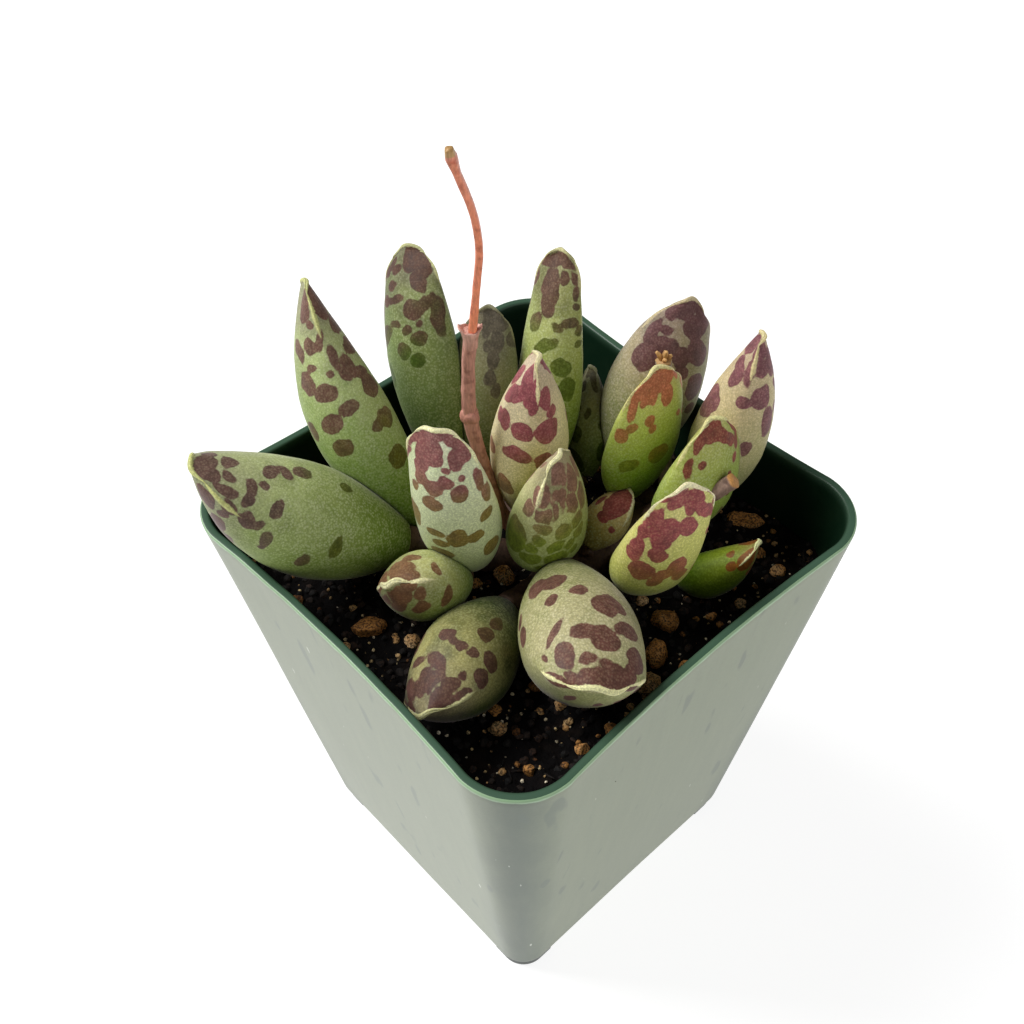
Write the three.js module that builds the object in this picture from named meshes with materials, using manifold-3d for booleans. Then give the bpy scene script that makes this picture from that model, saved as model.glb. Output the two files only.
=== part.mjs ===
// A spotted succulent of the plover eggs kind, growing in a square nursery pot.
// Millimetres, +Z up. The origin is the middle of the square that the pot's feet stand on.
// The pot's sides face X and Y. Its leaves grow from low branching stems near the middle of the soil.

import * as THREE from "three";
import { mergeVertices } from "three/addons/utils/BufferGeometryUtils.js";
import Module from "manifold-3d";

// Driving dimensions of the pot, outside sizes.
const POT_WIDTH = 63.5;
const POT_HEIGHT = 71;
const POT_BASE_WIDTH = 46;
const WALL = 1.2;
const FLOOR = 1.4;
const RIM_CORNER_RADIUS = 8.5;
const BASE_CORNER_RADIUS = 4.2;
const SIDE_SINK = 0.9;
const MID_HEIGHT = 30;
const FOOT_HEIGHT = 1.8;
const FOOT_REACH = 6.5;
const FOOT_INSET = 0.5;
const FOOT_THICKNESS = 2.2;
const DRAIN_HOLE = 6;
const DRAIN_SPACING = 22;

// The rounded heel of the pot: height above its floor and how far the outside is drawn in there.
const HEEL = [
  [0, 0.9],
  [0.5, 0.35],
  [2.4, 0],
];

// Soil and the grains on it.
const SOIL_BELOW_RIM = 10;
const SOIL_MOUND = 1.4;
const SOIL_LUMP = 0.32;
const SOIL_RINGS = 7;
const SMALL_GRAINS = 40;
const SMALL_GRAIN_SIZE = [0.7, 1.3];

// Fit between neighbouring pieces.
const GAP = 0.3;
const LEAF_GAP = 0.35;

// Woody stems under the leaves, and the short twig that carries each leaf.
const TWIG_RADIUS = 1.5;
const TWIG_SHARE_OF_NECK = 0.8;

// Leaves.
const LEAF_RINGS = 12;
const LEAF_SIDES = 14;
const NECK_SHARE = 0.36;
const MARGIN_HALF = 0.35;
const WEDGE_SHARPNESS = 0.7;
const SHOULDER_START = 0.9;
const SHOULDER_DROP = 0.55;
const TIP_ARCH = 0.14;

const wasm = await Module();
wasm.setup();

const SOIL_TOP = POT_HEIGHT - SOIL_BELOW_RIM;
const UP = new THREE.Vector3(0, 0, 1);

function seededRandom(seed) {
  let state = seed;
  return () => {
    state = (state * 1664525 + 1013904223) % 4294967296;
    return state / 4294967296;
  };
}

function solidFromGeometry(geometry) {
  const bare = geometry.clone();
  bare.deleteAttribute("normal");
  bare.deleteAttribute("uv");
  const merged = mergeVertices(bare, 1e-4);
  return new wasm.Manifold(
    new wasm.Mesh({
      numProp: 3,
      vertProperties: new Float32Array(merged.attributes.position.array),
      triVerts: new Uint32Array(merged.index.array),
    }),
  );
}

function geometryFromSolid(solid) {
  const mesh = solid.getMesh();
  const geometry = new THREE.BufferGeometry();
  geometry.setAttribute("position", new THREE.BufferAttribute(mesh.vertProperties, 3));
  geometry.setIndex(new THREE.BufferAttribute(mesh.triVerts, 1));
  geometry.computeVertexNormals();
  return geometry;
}

// The largest body of a solid, so that a cut leaves no loose scrap.
function largestBody(solid) {
  const bodies = solid.decompose();
  bodies.sort((a, b) => b.volume() - a.volume());
  return bodies[0];
}

// A closed skin over rings of equally many points. Rings run counter-clockwise seen from the far end.
function loft(rings) {
  const sides = rings[0].length;
  const points = [];
  const faces = [];
  rings.forEach((ring) => ring.forEach((p) => points.push(p.x, p.y, p.z)));
  for (let r = 0; r + 1 < rings.length; r++) {
    for (let s = 0; s < sides; s++) {
      const a = r * sides + s;
      const b = r * sides + ((s + 1) % sides);
      const c = a + sides;
      const d = b + sides;
      faces.push(a, b, d, a, d, c);
    }
  }
  const addCap = (ring, first, facingBack) => {
    const middle = new THREE.Vector3();
    ring.forEach((p) => middle.addScaledVector(p, 1 / sides));
    const hub = points.length / 3;
    points.push(middle.x, middle.y, middle.z);
    for (let s = 0; s < sides; s++) {
      const a = first + s;
      const b = first + ((s + 1) % sides);
      faces.push(...(facingBack ? [hub, b, a] : [hub, a, b]));
    }
  };
  addCap(rings[0], 0, true);
  addCap(rings.at(-1), (rings.length - 1) * sides, false);
  const geometry = new THREE.BufferGeometry();
  geometry.setAttribute("position", new THREE.Float32BufferAttribute(points, 3));
  geometry.setIndex(faces);
  return solidFromGeometry(geometry);
}

// A square ring with round corners and sides that sink in a little at their middles.
function squareRing(half, cornerRadius, z, sink = 0) {
  const ring = [];
  const arcSteps = 5;
  const sideSteps = 4;
  const straight = half - cornerRadius;
  for (let quarter = 0; quarter < 4; quarter++) {
    const turn = (quarter * Math.PI) / 2;
    const cos = Math.cos(turn);
    const sin = Math.sin(turn);
    const place = (x, y) => ring.push(new THREE.Vector3(x * cos - y * sin, x * sin + y * cos, z));
    for (let i = 1; i < sideSteps; i++) {
      const along = -1 + (2 * i) / sideSteps;
      place(half - sink * (1 - along * along), straight * along);
    }
    for (let i = 0; i <= arcSteps; i++) {
      const angle = ((i / arcSteps) * Math.PI) / 2;
      place(straight + cornerRadius * Math.cos(angle), straight + cornerRadius * Math.sin(angle));
    }
  }
  return ring;
}

// Half width, corner radius and side sink of the pot's outside at height z.
function potOutsideAt(z) {
  const share = (z - FOOT_HEIGHT) / (POT_HEIGHT - FOOT_HEIGHT);
  return {
    half: THREE.MathUtils.lerp(POT_BASE_WIDTH, POT_WIDTH, share) / 2,
    corner: THREE.MathUtils.lerp(BASE_CORNER_RADIUS, RIM_CORNER_RADIUS, share),
    sink: SIDE_SINK * Math.max(0, share) ** 2,
  };
}

function potRing(z, inset) {
  const { half, corner, sink } = potOutsideAt(z);
  return squareRing(half - inset, Math.max(corner - inset, 1), z, sink);
}

function buildPot() {
  const heel = HEEL.map(([height, inset]) => potRing(FOOT_HEIGHT + height, inset));
  const outside = loft([...heel, potRing(MID_HEIGHT, 0), potRing(POT_HEIGHT, 0)]);
  const inside = loft([FOOT_HEIGHT + FLOOR, MID_HEIGHT, POT_HEIGHT + 1].map((z) => potRing(z, WALL)));
  let pot = outside.subtract(inside);
  const footSkin = loft([0, FOOT_HEIGHT + FLOOR / 2].map((z) => potRing(z, FOOT_INSET)));
  const footHollow = loft([-1, FOOT_HEIGHT + FLOOR / 4].map((z) => potRing(z, FOOT_INSET + FOOT_THICKNESS)));
  const reach = (POT_BASE_WIDTH - FOOT_REACH + 1) / 2;
  for (const sx of [-1, 1]) {
    for (const sy of [-1, 1]) {
      const corner = new THREE.BoxGeometry(FOOT_REACH + 1, FOOT_REACH + 1, 3 * FOOT_HEIGHT);
      corner.translate(sx * reach, sy * reach, 0);
      pot = pot.add(footSkin.subtract(footHollow).intersect(solidFromGeometry(corner)));
      const drain = new THREE.CylinderGeometry(DRAIN_HOLE / 2, DRAIN_HOLE / 2, 4 * FLOOR, 12);
      drain.rotateX(Math.PI / 2);
      drain.translate((sx * DRAIN_SPACING) / 2, (sy * DRAIN_SPACING) / 2, FOOT_HEIGHT + FLOOR / 2);
      pot = pot.subtract(solidFromGeometry(drain));
    }
  }
  return pot;
}

// A round bar along a smooth curve through the points, each with its own radius.
function roundBar(knots, sides = 9, stepsPerSpan = 3, swell = 0) {
  const curve = new THREE.CatmullRomCurve3(knots.map((k) => new THREE.Vector3(k[0], k[1], k[2])));
  const steps = (knots.length - 1) * stepsPerSpan;
  const rings = [];
  const across = new THREE.Vector3(1, 0, 0);
  for (let i = 0; i <= steps; i++) {
    const middle = curve.getPoint(i / steps);
    const along = curve.getTangent(i / steps);
    across.addScaledVector(along, -across.dot(along)).normalize();
    const other = new THREE.Vector3().crossVectors(along, across);
    const span = Math.min(Math.floor(i / stepsPerSpan), knots.length - 2);
    const radius = THREE.MathUtils.lerp(knots[span][3], knots[span + 1][3], i / stepsPerSpan - span) + swell;
    const ring = [];
    for (let s = 0; s < sides; s++) {
      const angle = (s / sides) * 2 * Math.PI;
      const p = middle.clone();
      p.addScaledVector(across, radius * Math.cos(angle));
      p.addScaledVector(other, radius * Math.sin(angle));
      ring.push(p);
    }
    rings.push(ring);
  }
  return loft(rings);
}

// The direction that a leaf leaves its root in.
function leafAxis(leaf) {
  const heading = THREE.MathUtils.degToRad(leaf.heading);
  const rise = THREE.MathUtils.degToRad(leaf.rise);
  return new THREE.Vector3(Math.cos(heading) * Math.cos(rise), Math.sin(heading) * Math.cos(rise), Math.sin(rise));
}

// Leaf: a round neck that swells to a fat body and thins to a broad wedge with a waved horny margin.
// heading and rise point the leaf, roll turns its flat face, and bow curves it towards that face.
function leafSolid(leaf, swell = 0) {
  const roll = THREE.MathUtils.degToRad(leaf.roll);
  const axis = leafAxis(leaf);
  const level = new THREE.Vector3().crossVectors(axis, UP).normalize();
  const lift = new THREE.Vector3().crossVectors(level, axis);
  const turned = (a, b, angle) => a.clone().multiplyScalar(Math.cos(angle)).addScaledVector(b, Math.sin(angle));
  const across = turned(level, lift, roll);
  const face = turned(lift, level, -roll);
  const root = new THREE.Vector3(...leaf.root);
  const rings = [];
  for (let r = 0; r <= LEAF_RINGS; r++) {
    const t = Math.sin(((r / LEAF_RINGS) ** 0.9 * Math.PI) / 2) ** 1.15;
    const bow = Math.atan((2 * leaf.bow * t) / leaf.length);
    const along = turned(axis, face, bow);
    const out = turned(face, axis, -bow);
    const middle = root.clone().addScaledVector(axis, leaf.length * t);
    middle.addScaledVector(face, leaf.bow * t * t);
    const swelling = Math.sin((Math.min(1, t / leaf.fat) * Math.PI) / 2) ** 0.85;
    const body = NECK_SHARE + (1 - NECK_SHARE) * swelling;
    const wedge = Math.max(0, (t - leaf.fat) / (1 - leaf.fat));
    const nearTip = Math.max(0, (t - SHOULDER_START) / (1 - SHOULDER_START));
    const shoulder = Math.sqrt(1 - SHOULDER_DROP * nearTip ** 2);
    const halfWidth = (leaf.width / 2) * body * (1 - (1 - leaf.tip) * wedge ** 2) * shoulder + swell;
    const halfDepth = Math.max((leaf.depth / 2) * body * (1 - wedge ** 2), MARGIN_HALF) + swell;
    const sharpness = 1 + WEDGE_SHARPNESS * wedge ** 2;
    const ring = [];
    for (let s = 0; s < LEAF_SIDES; s++) {
      const angle = (s / LEAF_SIDES) * 2 * Math.PI;
      const x = Math.cos(angle);
      const y = Math.sign(Math.sin(angle)) * Math.abs(Math.sin(angle)) ** sharpness;
      const wave = leaf.wave * Math.sin(1.5 * Math.PI * x + leaf.heading) * wedge ** 5;
      const arch = leaf.width * TIP_ARCH * x * x * wedge ** 3;
      const p = middle.clone();
      p.addScaledVector(across, halfWidth * x);
      p.addScaledVector(out, halfDepth * y + wave);
      p.addScaledVector(along, -arch + (t === 1 ? swell : 0));
      ring.push(p);
    }
    rings.push(ring);
  }
  return loft(rings.map((ring) => ring.reverse()));
}

// Every leaf, the ones that keep their full form first. root and sizes in mm, angles in degrees.
// tip is the margin's share of the leaf's width, wave the height of the margin's ripple.
const LEAVES = [
  {
    name: "leaf_left_lying",
    stem: "left",
    color: "#93a86c",
    root: [-9.5, -12.4, 66.3],
    ...{ heading: -119, rise: 23.2, roll: -9, bow: 9 },
    ...{ length: 29.1, width: 13.8, depth: 14.4, tip: 0.62, fat: 0.46, wave: 0.3 },
  },
  {
    name: "leaf_left_tall",
    stem: "left",
    color: "#7f9458",
    root: [-11.2, -7.9, 65.8],
    ...{ heading: -154, rise: 46, roll: -49, bow: 11 },
    ...{ length: 32.4, width: 12, depth: 10.8, tip: 0.47, fat: 0.45, wave: 0.2 },
  },
  {
    name: "leaf_small_left",
    stem: "left",
    color: "#8ba065",
    root: [-0.5, -10.5, 65],
    ...{ heading: -84, rise: 32, roll: -40, bow: 2 },
    ...{ length: 14, width: 9.8, depth: 8.8, tip: 0.55, fat: 0.54, wave: 0.3 },
  },
  {
    name: "leaf_front_left_low",
    stem: "left",
    color: "#8c9f62",
    root: [6, -9.5, 64],
    ...{ heading: -67, rise: 8, roll: 151, bow: -2 },
    ...{ length: 21, width: 11.8, depth: 12.2, tip: 0.55, fat: 0.48, wave: 0.3 },
  },
  {
    name: "leaf_front_right",
    stem: "middle",
    color: "#93a467",
    root: [8, -1.5, 66],
    ...{ heading: -37, rise: 17, roll: 12, bow: 4 },
    ...{ length: 28, width: 14.2, depth: 13.8, tip: 0.67, fat: 0.54, wave: 0.3 },
  },
  {
    name: "leaf_front_upright",
    stem: "left",
    color: "#a3b688",
    root: [-2, -7.5, 65],
    ...{ heading: -80, rise: 78, roll: 160, bow: -1.5 },
    ...{ length: 27, width: 10.4, depth: 9.8, tip: 0.72, fat: 0.34, wave: 0.3 },
  },
  {
    name: "leaf_small_middle",
    stem: "middle",
    color: "#8a9a66",
    root: [6.5, 4.5, 65],
    ...{ heading: 94, rise: 24, roll: 24, bow: 0.5 },
    ...{ length: 9.5, width: 6.6, depth: 5.6, tip: 0.55, fat: 0.43, wave: 0.2 },
  },
  {
    name: "leaf_middle_young",
    stem: "middle",
    color: "#b3c183",
    root: [4, -1, 66],
    ...{ heading: 36, rise: 83, roll: 16, bow: 0.5 },
    ...{ length: 18.5, width: 12.2, depth: 9.6, tip: 0.51, fat: 0.25, wave: 0.3 },
  },
  {
    name: "leaf_centre_pink",
    stem: "back",
    color: "#b9a987",
    root: [-4.5, 3.5, 65],
    ...{ heading: 80, rise: 83, roll: 29, bow: 0.5 },
    ...{ length: 25, width: 11, depth: 10, tip: 0.56, fat: 0.41, wave: 0.3 },
  },
  {
    name: "leaf_right_red_tip",
    stem: "right",
    color: "#8f9a5a",
    root: [4, 14.5, 65],
    ...{ heading: 70, rise: 79, roll: 77, bow: 1 },
    ...{ length: 21.3, width: 12, depth: 5.8, tip: 0.62, fat: 0.39, wave: 0.3 },
  },
  {
    name: "leaf_right_second",
    stem: "right",
    color: "#8c9d5e",
    root: [11.5, 15, 65],
    ...{ heading: 19, rise: 65, roll: 31, bow: 6 },
    ...{ length: 18, width: 12.2, depth: 6.8, tip: 0.55, fat: 0.38, wave: 0.3 },
  },
  {
    name: "leaf_right_low_blotched",
    stem: "right",
    color: "#a9a45c",
    root: [15.3, 4, 66],
    ...{ heading: -5, rise: 67, roll: 22, bow: 3.5 },
    ...{ length: 22.6, width: 10.4, depth: 7.4, tip: 0.68, fat: 0.32, wave: 0.3 },
  },
  {
    name: "leaf_right_crescent",
    stem: "right",
    color: "#8b9a55",
    root: [17.2, 10.6, 62.7],
    ...{ heading: 31, rise: 20, roll: 16, bow: 5.5 },
    ...{ length: 11.5, width: 6, depth: 6.2, tip: 0.5, fat: 0.34, wave: 0.1 },
  },
  {
    name: "leaf_right_tall",
    stem: "right",
    color: "#9c9a72",
    root: [11, 21, 65],
    ...{ heading: 72, rise: 70, roll: 40, bow: 2.5 },
    ...{ length: 26, width: 8.8, depth: 9.8, tip: 0.53, fat: 0.39, wave: 0.3 },
  },
  {
    name: "leaf_back_right_broad",
    stem: "right",
    color: "#8f8f7c",
    root: [-0.5, 18.5, 65],
    ...{ heading: 98, rise: 62, roll: -57, bow: 2 },
    ...{ length: 25, width: 13.2, depth: 10.2, tip: 0.49, fat: 0.46, wave: 0.3 },
  },
  {
    name: "leaf_back_middle",
    stem: "back",
    color: "#8fa069",
    root: [-7.3, 10.5, 65],
    ...{ heading: 131.5, rise: 70, roll: 26, bow: -2 },
    ...{ length: 29.9, width: 9, depth: 7.6, tip: 0.6, fat: 0.36, wave: 0.3 },
  },
  {
    name: "leaf_back_left",
    stem: "back",
    color: "#90a56c",
    root: [-15, 0, 65],
    ...{ heading: 165, rise: 63, roll: 57, bow: -4 },
    ...{ length: 31, width: 10.6, depth: 7.2, tip: 0.67, fat: 0.54, wave: 0.3 },
  },
  {
    name: "leaf_back_shaded",
    stem: "back",
    color: "#76806a",
    root: [-12.5, 4, 65],
    ...{ heading: 130, rise: 68, roll: -7, bow: 0 },
    ...{ length: 23.2, width: 9, depth: 7.4, tip: 0.54, fat: 0.42, wave: 0.3 },
  },
  {
    name: "leaf_back_short",
    stem: "back",
    color: "#7d8a5c",
    root: [-3, 14, 64],
    ...{ heading: 133, rise: 50, roll: 60, bow: 0 },
    ...{ length: 15, width: 7, depth: 6, tip: 0.5, fat: 0.42, wave: 0.2 },
  },
];

// Branches of the woody stem, from the crown under the soil: points x, y, z and the radius there.
const CROWN = [2, 2, 56, 3];
const STEMS = {
  left: [CROWN, [-1.5, -2.5, 61.5, 2.5], [-5.5, -7, 64, 2.1], [-7, -9.5, 66, 1.6]],
  back: [CROWN, [-3, 2.5, 61.5, 2.5], [-8, 5, 64, 2.1], [-10, 6, 66, 1.6]],
  right: [CROWN, [6.5, 4.5, 61.5, 2.5], [8.5, 9.5, 64.5, 2.1], [9.5, 15.5, 66, 1.7]],
  middle: [CROWN, [4.2, 0.8, 61, 2.3], [5.2, 0.8, 64, 1.9]],
};

// The dry flower stalk: points x, y, z and radius, from its foot to the last node, then the thin thread above.
const STALK = [
  [-3.4, 1.4, 62.6, 1.2],
  [-4.6, -0.2, 66, 1.1],
  [-5.8, -0.7, 71, 1],
  [-6.9, -1.3, 76, 0.95],
  [-7.9, -1.7, 82, 1.15],
  [-8.5, -1.1, 89, 0.9],
  [-7.8, -1, 95.5, 0.85],
];
const THREAD = [
  [-7.7, -0.9, 94.6, 0.55],
  [-6.5, -1, 102, 0.46],
  [-5.5, -1.2, 108, 0.45],
  [-4.5, -2.7, 114, 0.43],
  [-4.6, -4.3, 119, 0.42],
  [-4.1, -5.6, 122.8, 0.4],
];
const STALK_NODE = { at: [-7.9, -1.7, 82.4], size: [1.7, 1.6, 1.9] };
const STALK_CUP = { at: [-7.8, -1, 93.8], radius: 1.55, height: 2.2 };

// Dead ends of old flower stalks among the right-hand leaves.
const CUT_STUB = [
  [10.6, 14.2, 65.6, 1.1],
  [14.6, 14.6, 71.5, 0.9],
  [18.1, 17.6, 76.8, 1],
];
const DRY_STUB = [
  [8, 17.6, 65.6, 0.9],
  [4.6, 20.6, 73, 0.8],
  [2, 22.4, 79.8, 0.8],
  [1.6, 22.4, 82.6, 1],
];

// Grains that stand out on the soil: middle x and y, length, width, and the turn of the length in degrees.
const LARGE_GRAINS = [
  [19.9, 5.1, 3.8, 3.4, 40],
  [22.6, 0.6, 4.4, 2.8, 130],
  [25, -3.4, 3.6, 3.4, 0],
  [26.4, 1.6, 2.2, 1.8, 80],
  [15.5, 25, 6.2, 2.6, 45],
  [20.4, 22.6, 2.2, 1.9, 20],
  [24.5, 21.5, 2.2, 2, 60],
  [1.2, -5, 3, 2.7, 15],
  [-0.2, -8.6, 1.8, 1.6, 70],
  [15.2, -19.4, 1.9, 1.7, 0],
  [17.2, -20.6, 2.2, 1.9, 50],
  [15.7, -13.2, 1.8, 1.6, 30],
  [19.6, -12.8, 2.4, 1.6, 100],
  [26.2, -11, 1.9, 1.7, 0],
  [25.6, -15.2, 1.9, 1.7, 45],
  [23.5, -21.5, 1.7, 1.5, 10],
  [-4.6, -22.6, 4.6, 2.8, 60],
  [-5, -26.2, 1.7, 1.6, 0],
  [0.8, -20, 2.2, 2, 30],
  [-15.2, -26.4, 2.2, 1.8, 80],
  [15.8, 5.2, 1.9, 1.7, 0],
  [-7.6, 20, 2.6, 1.8, 120],
  [24.4, 14.4, 1.8, 1.6, 20],
  [23.4, 9.8, 1.6, 1.4, 60],
];

// The nearest of many points along a stem to the root of a leaf.
function nearestOnStem(stem, root) {
  const curve = new THREE.CatmullRomCurve3(stem.map((k) => new THREE.Vector3(k[0], k[1], k[2])));
  const points = curve.getPoints(24).slice(10);
  points.sort((a, b) => a.distanceTo(root) - b.distanceTo(root));
  return points[0];
}

// A twig from the stem to just short of the leaf's neck, bent into the leaf's own direction.
function twigKnots(leaf) {
  const root = new THREE.Vector3(...leaf.root);
  const axis = leafAxis(leaf);
  const start = nearestOnStem(STEMS[leaf.stem], root);
  const end = root.clone().addScaledVector(axis, -GAP);
  const middle = start.clone().lerp(end, 0.55);
  middle.z -= 0.12 * start.distanceTo(end);
  const neck = (NECK_SHARE * TWIG_SHARE_OF_NECK * (leaf.width + leaf.depth)) / 4;
  return [
    [...start.toArray(), TWIG_RADIUS],
    [...middle.toArray(), (TWIG_RADIUS + neck) / 2],
    [...end.toArray(), neck],
  ];
}

function buildStems(swell = 0) {
  const bars = Object.values(STEMS).map((knots) => roundBar(knots, 8, 2, swell));
  LEAVES.forEach((leaf) => bars.push(roundBar(twigKnots(leaf), 6, 1, swell)));
  return bars.reduce((whole, bar) => whole.add(bar));
}

// A rough pebble: a coarse ball with each corner drawn in or out, turned about Z.
function pebble(ball, x, y, z, radii, turn, random) {
  ball.deleteAttribute("normal");
  ball.deleteAttribute("uv");
  const shape = mergeVertices(ball, 1e-4);
  const corners = shape.attributes.position;
  for (let i = 0; i < corners.count; i++) {
    const reach = 0.85 + 0.3 * random();
    corners.setXYZ(i, corners.getX(i) * reach, corners.getY(i) * reach, corners.getZ(i) * reach);
  }
  shape.rotateX(random() * Math.PI);
  shape.scale(...radii);
  shape.rotateZ(turn);
  shape.translate(x, y, z);
  return solidFromGeometry(shape);
}

// Height of the soil at a point: a low mound with soft lumps.
function soilHeight(x, y, half) {
  const share = Math.min(1, Math.hypot(x, y) / half);
  const folds = Math.sin(0.55 * x + 1.3 * Math.sin(0.4 * y));
  const hollows = Math.cos(0.63 * y - 0.9 * Math.sin(0.5 * x));
  return SOIL_TOP + SOIL_MOUND * (1 - share ** 2) + SOIL_LUMP * (folds + hollows);
}

function buildSoil() {
  const random = seededRandom(11);
  const edge = WALL + GAP;
  const rings = [FOOT_HEIGHT + FLOOR + GAP, MID_HEIGHT].map((z) => potRing(z, edge));
  const half = potOutsideAt(SOIL_TOP).half - edge;
  for (let r = 0; r < SOIL_RINGS; r++) {
    const ring = potRing(SOIL_TOP, edge);
    const share = 1 - r / SOIL_RINGS;
    ring.forEach((p) => {
      p.x *= share;
      p.y *= share;
      p.z = soilHeight(p.x, p.y, half) + (r > 0 ? 0.3 * (random() - 0.5) : -0.4);
    });
    rings.push(ring);
  }
  let soil = loft(rings);
  for (const [x, y, long, wide, turn] of LARGE_GRAINS) {
    const radii = [long / 2, wide / 2, wide * 0.42];
    const ball = new THREE.IcosahedronGeometry(1, 0);
    const z = soilHeight(x, y, half) + wide * 0.12;
    soil = soil.add(pebble(ball, x, y, z, radii, THREE.MathUtils.degToRad(turn), random));
  }
  for (let i = 0; i < SMALL_GRAINS; i++) {
    const x = (2 * random() - 1) * (half - 2);
    const y = (2 * random() - 1) * (half - 2);
    const size = THREE.MathUtils.lerp(...SMALL_GRAIN_SIZE, random());
    const z = soilHeight(x, y, half) + size * 0.2;
    const ball = new THREE.OctahedronGeometry(1, 0);
    soil = soil.add(pebble(ball, x, y, z, [size, size * 0.8, size * 0.7], random() * Math.PI, random));
  }
  return soil.intersect(loft([FOOT_HEIGHT + FLOOR + GAP, MID_HEIGHT, POT_HEIGHT].map((z) => potRing(z, edge))));
}

function stalkSolid() {
  let stalk = roundBar(STALK, 8, 2).add(roundBar(THREAD, 6, 2));
  const node = new THREE.SphereGeometry(1, 8, 6);
  node.rotateX(Math.PI / 2);
  node.scale(...STALK_NODE.size);
  node.translate(...STALK_NODE.at);
  stalk = stalk.add(solidFromGeometry(node));
  const cup = new THREE.LatheGeometry(
    [
      [0, 0],
      [0.6, 0],
      [0.78, 0.45],
      [1, 1],
      [0.8, 1],
      [0.55, 0.62],
      [0, 0.55],
    ].map(([r, h]) => new THREE.Vector2(r * STALK_CUP.radius, h * STALK_CUP.height)),
    8,
  );
  cup.rotateX(Math.PI / 2);
  cup.translate(...STALK_CUP.at);
  return stalk.add(solidFromGeometry(cup));
}

const group = new THREE.Group();

function addPiece(name, solid, color, roughness) {
  const material = new THREE.MeshStandardMaterial({ color, roughness, metalness: 0 });
  const mesh = new THREE.Mesh(geometryFromSolid(solid), material);
  mesh.name = name;
  group.add(mesh);
}

// Whether the boxes round two solids come within the gap between leaves.
function boxesMeet(a, b) {
  const one = a.boundingBox();
  const two = b.boundingBox();
  return [0, 1, 2].every((i) => one.min[i] < two.max[i] + LEAF_GAP && two.min[i] < one.max[i] + LEAF_GAP);
}

addPiece("pot", buildPot(), "#5d7a66", 0.45);
const stemRoom = buildStems(GAP);
addPiece("stems", buildStems(), "#7a5a4a", 0.8);

// What is woody keeps its form, and the leaves and the soil leave room for it.
addPiece("flower_stalk", largestBody(stalkSolid().subtract(stemRoom)), "#b06a52", 0.85);
addPiece("cut_stub", largestBody(roundBar(CUT_STUB, 8, 2).subtract(stemRoom)), "#a98a6a", 0.85);
addPiece("dry_stub", largestBody(roundBar(DRY_STUB, 8, 2).subtract(stemRoom)), "#b8a890", 0.85);
const stalkRooms = [STALK, CUT_STUB, DRY_STUB].map((knots) => roundBar(knots, 8, 2, GAP));

const rooms = [...stalkRooms];
let soil = [stemRoom, ...stalkRooms].reduce((left, room) => left.subtract(room), buildSoil());
for (const leaf of LEAVES) {
  let solid = leafSolid(leaf).subtract(stemRoom);
  for (const room of rooms) {
    if (boxesMeet(solid, room)) solid = solid.subtract(room);
  }
  addPiece(leaf.name, largestBody(solid), leaf.color, 0.5);
  const room = leafSolid(leaf, LEAF_GAP);
  rooms.push(room);
  if (boxesMeet(soil, room)) soil = soil.subtract(room);
}
addPiece("soil", largestBody(soil), "#3a2a20", 0.95);

export default group;
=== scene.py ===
"""Potted plover eggs plant: a spotted succulent in a square nursery pot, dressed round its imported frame.

Shapes are worked out in millimetres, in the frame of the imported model, and turned to metres when a mesh is
made. The leaves, the pot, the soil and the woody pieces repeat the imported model's forms with a fine surface.
"""

import itertools
import logging
import math
from dataclasses import dataclass, field
from enum import Enum

import bmesh
import bpy
import numpy as np
from mathutils import Matrix, Vector
from mathutils.bvhtree import BVHTree


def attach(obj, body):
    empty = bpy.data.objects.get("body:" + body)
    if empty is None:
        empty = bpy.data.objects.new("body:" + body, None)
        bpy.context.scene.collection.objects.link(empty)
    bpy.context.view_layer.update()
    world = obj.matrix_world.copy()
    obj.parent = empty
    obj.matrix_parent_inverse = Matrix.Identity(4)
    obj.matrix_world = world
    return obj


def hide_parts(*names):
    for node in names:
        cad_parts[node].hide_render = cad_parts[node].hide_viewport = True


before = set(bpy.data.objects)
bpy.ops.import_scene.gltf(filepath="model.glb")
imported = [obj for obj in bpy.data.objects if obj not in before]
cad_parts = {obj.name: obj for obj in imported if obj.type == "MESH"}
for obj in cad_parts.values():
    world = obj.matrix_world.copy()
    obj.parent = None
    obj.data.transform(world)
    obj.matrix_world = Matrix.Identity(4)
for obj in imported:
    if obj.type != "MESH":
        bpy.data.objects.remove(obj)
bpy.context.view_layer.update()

log = logging.getLogger("plover_eggs")

MM = 0.001
CENTIMETRE = 0.01
UP = np.array([0.0, 0.0, 1.0])
BODY = "root"
LATTICE_VALUES = 8192
LATTICE_PRIMES = (73856093, 19349663, 83492791)
LATTICE_SHIFT = 512.0
# Share, spacing in millimetres and seed of the two fields that roughen a woody bar.
BARK_FIELDS = ((0.6, 1.3, 5), (0.4, 0.5, 6))

# Kinds of node and settings that many nodes share.
RANGE = "ShaderNodeMapRange"
MIX = "ShaderNodeMix"
MATH = "ShaderNodeMath"
VECTOR_MATH = "ShaderNodeVectorMath"
NOISE = "ShaderNodeTexNoise"
ATTRIBUTE = "ShaderNodeAttribute"
BUMP = "ShaderNodeBump"
MAPPING = "ShaderNodeMapping"
SMOOTH = {"interpolation_type": "SMOOTHSTEP"}
COLOURS = {"data_type": "RGBA"}
ADD = {"operation": "ADD"}
SUBTRACT = {"operation": "SUBTRACT"}
MULTIPLY = {"operation": "MULTIPLY"}
MULTIPLY_ADD = {"operation": "MULTIPLY_ADD"}
SCALE = {"operation": "SCALE"}

Socket = bpy.types.NodeSocket
Tree = bpy.types.NodeTree
Material = bpy.types.Material


class Slot(Enum):
    """The record's material slots."""

    POT = "pot_plastic"
    SOIL = "potting_mix"
    BARK = "stem_bark"
    STALK = "dried_stalk"
    LEAF = "leaf"


# Helpers for colours, nodes and meshes.


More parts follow.
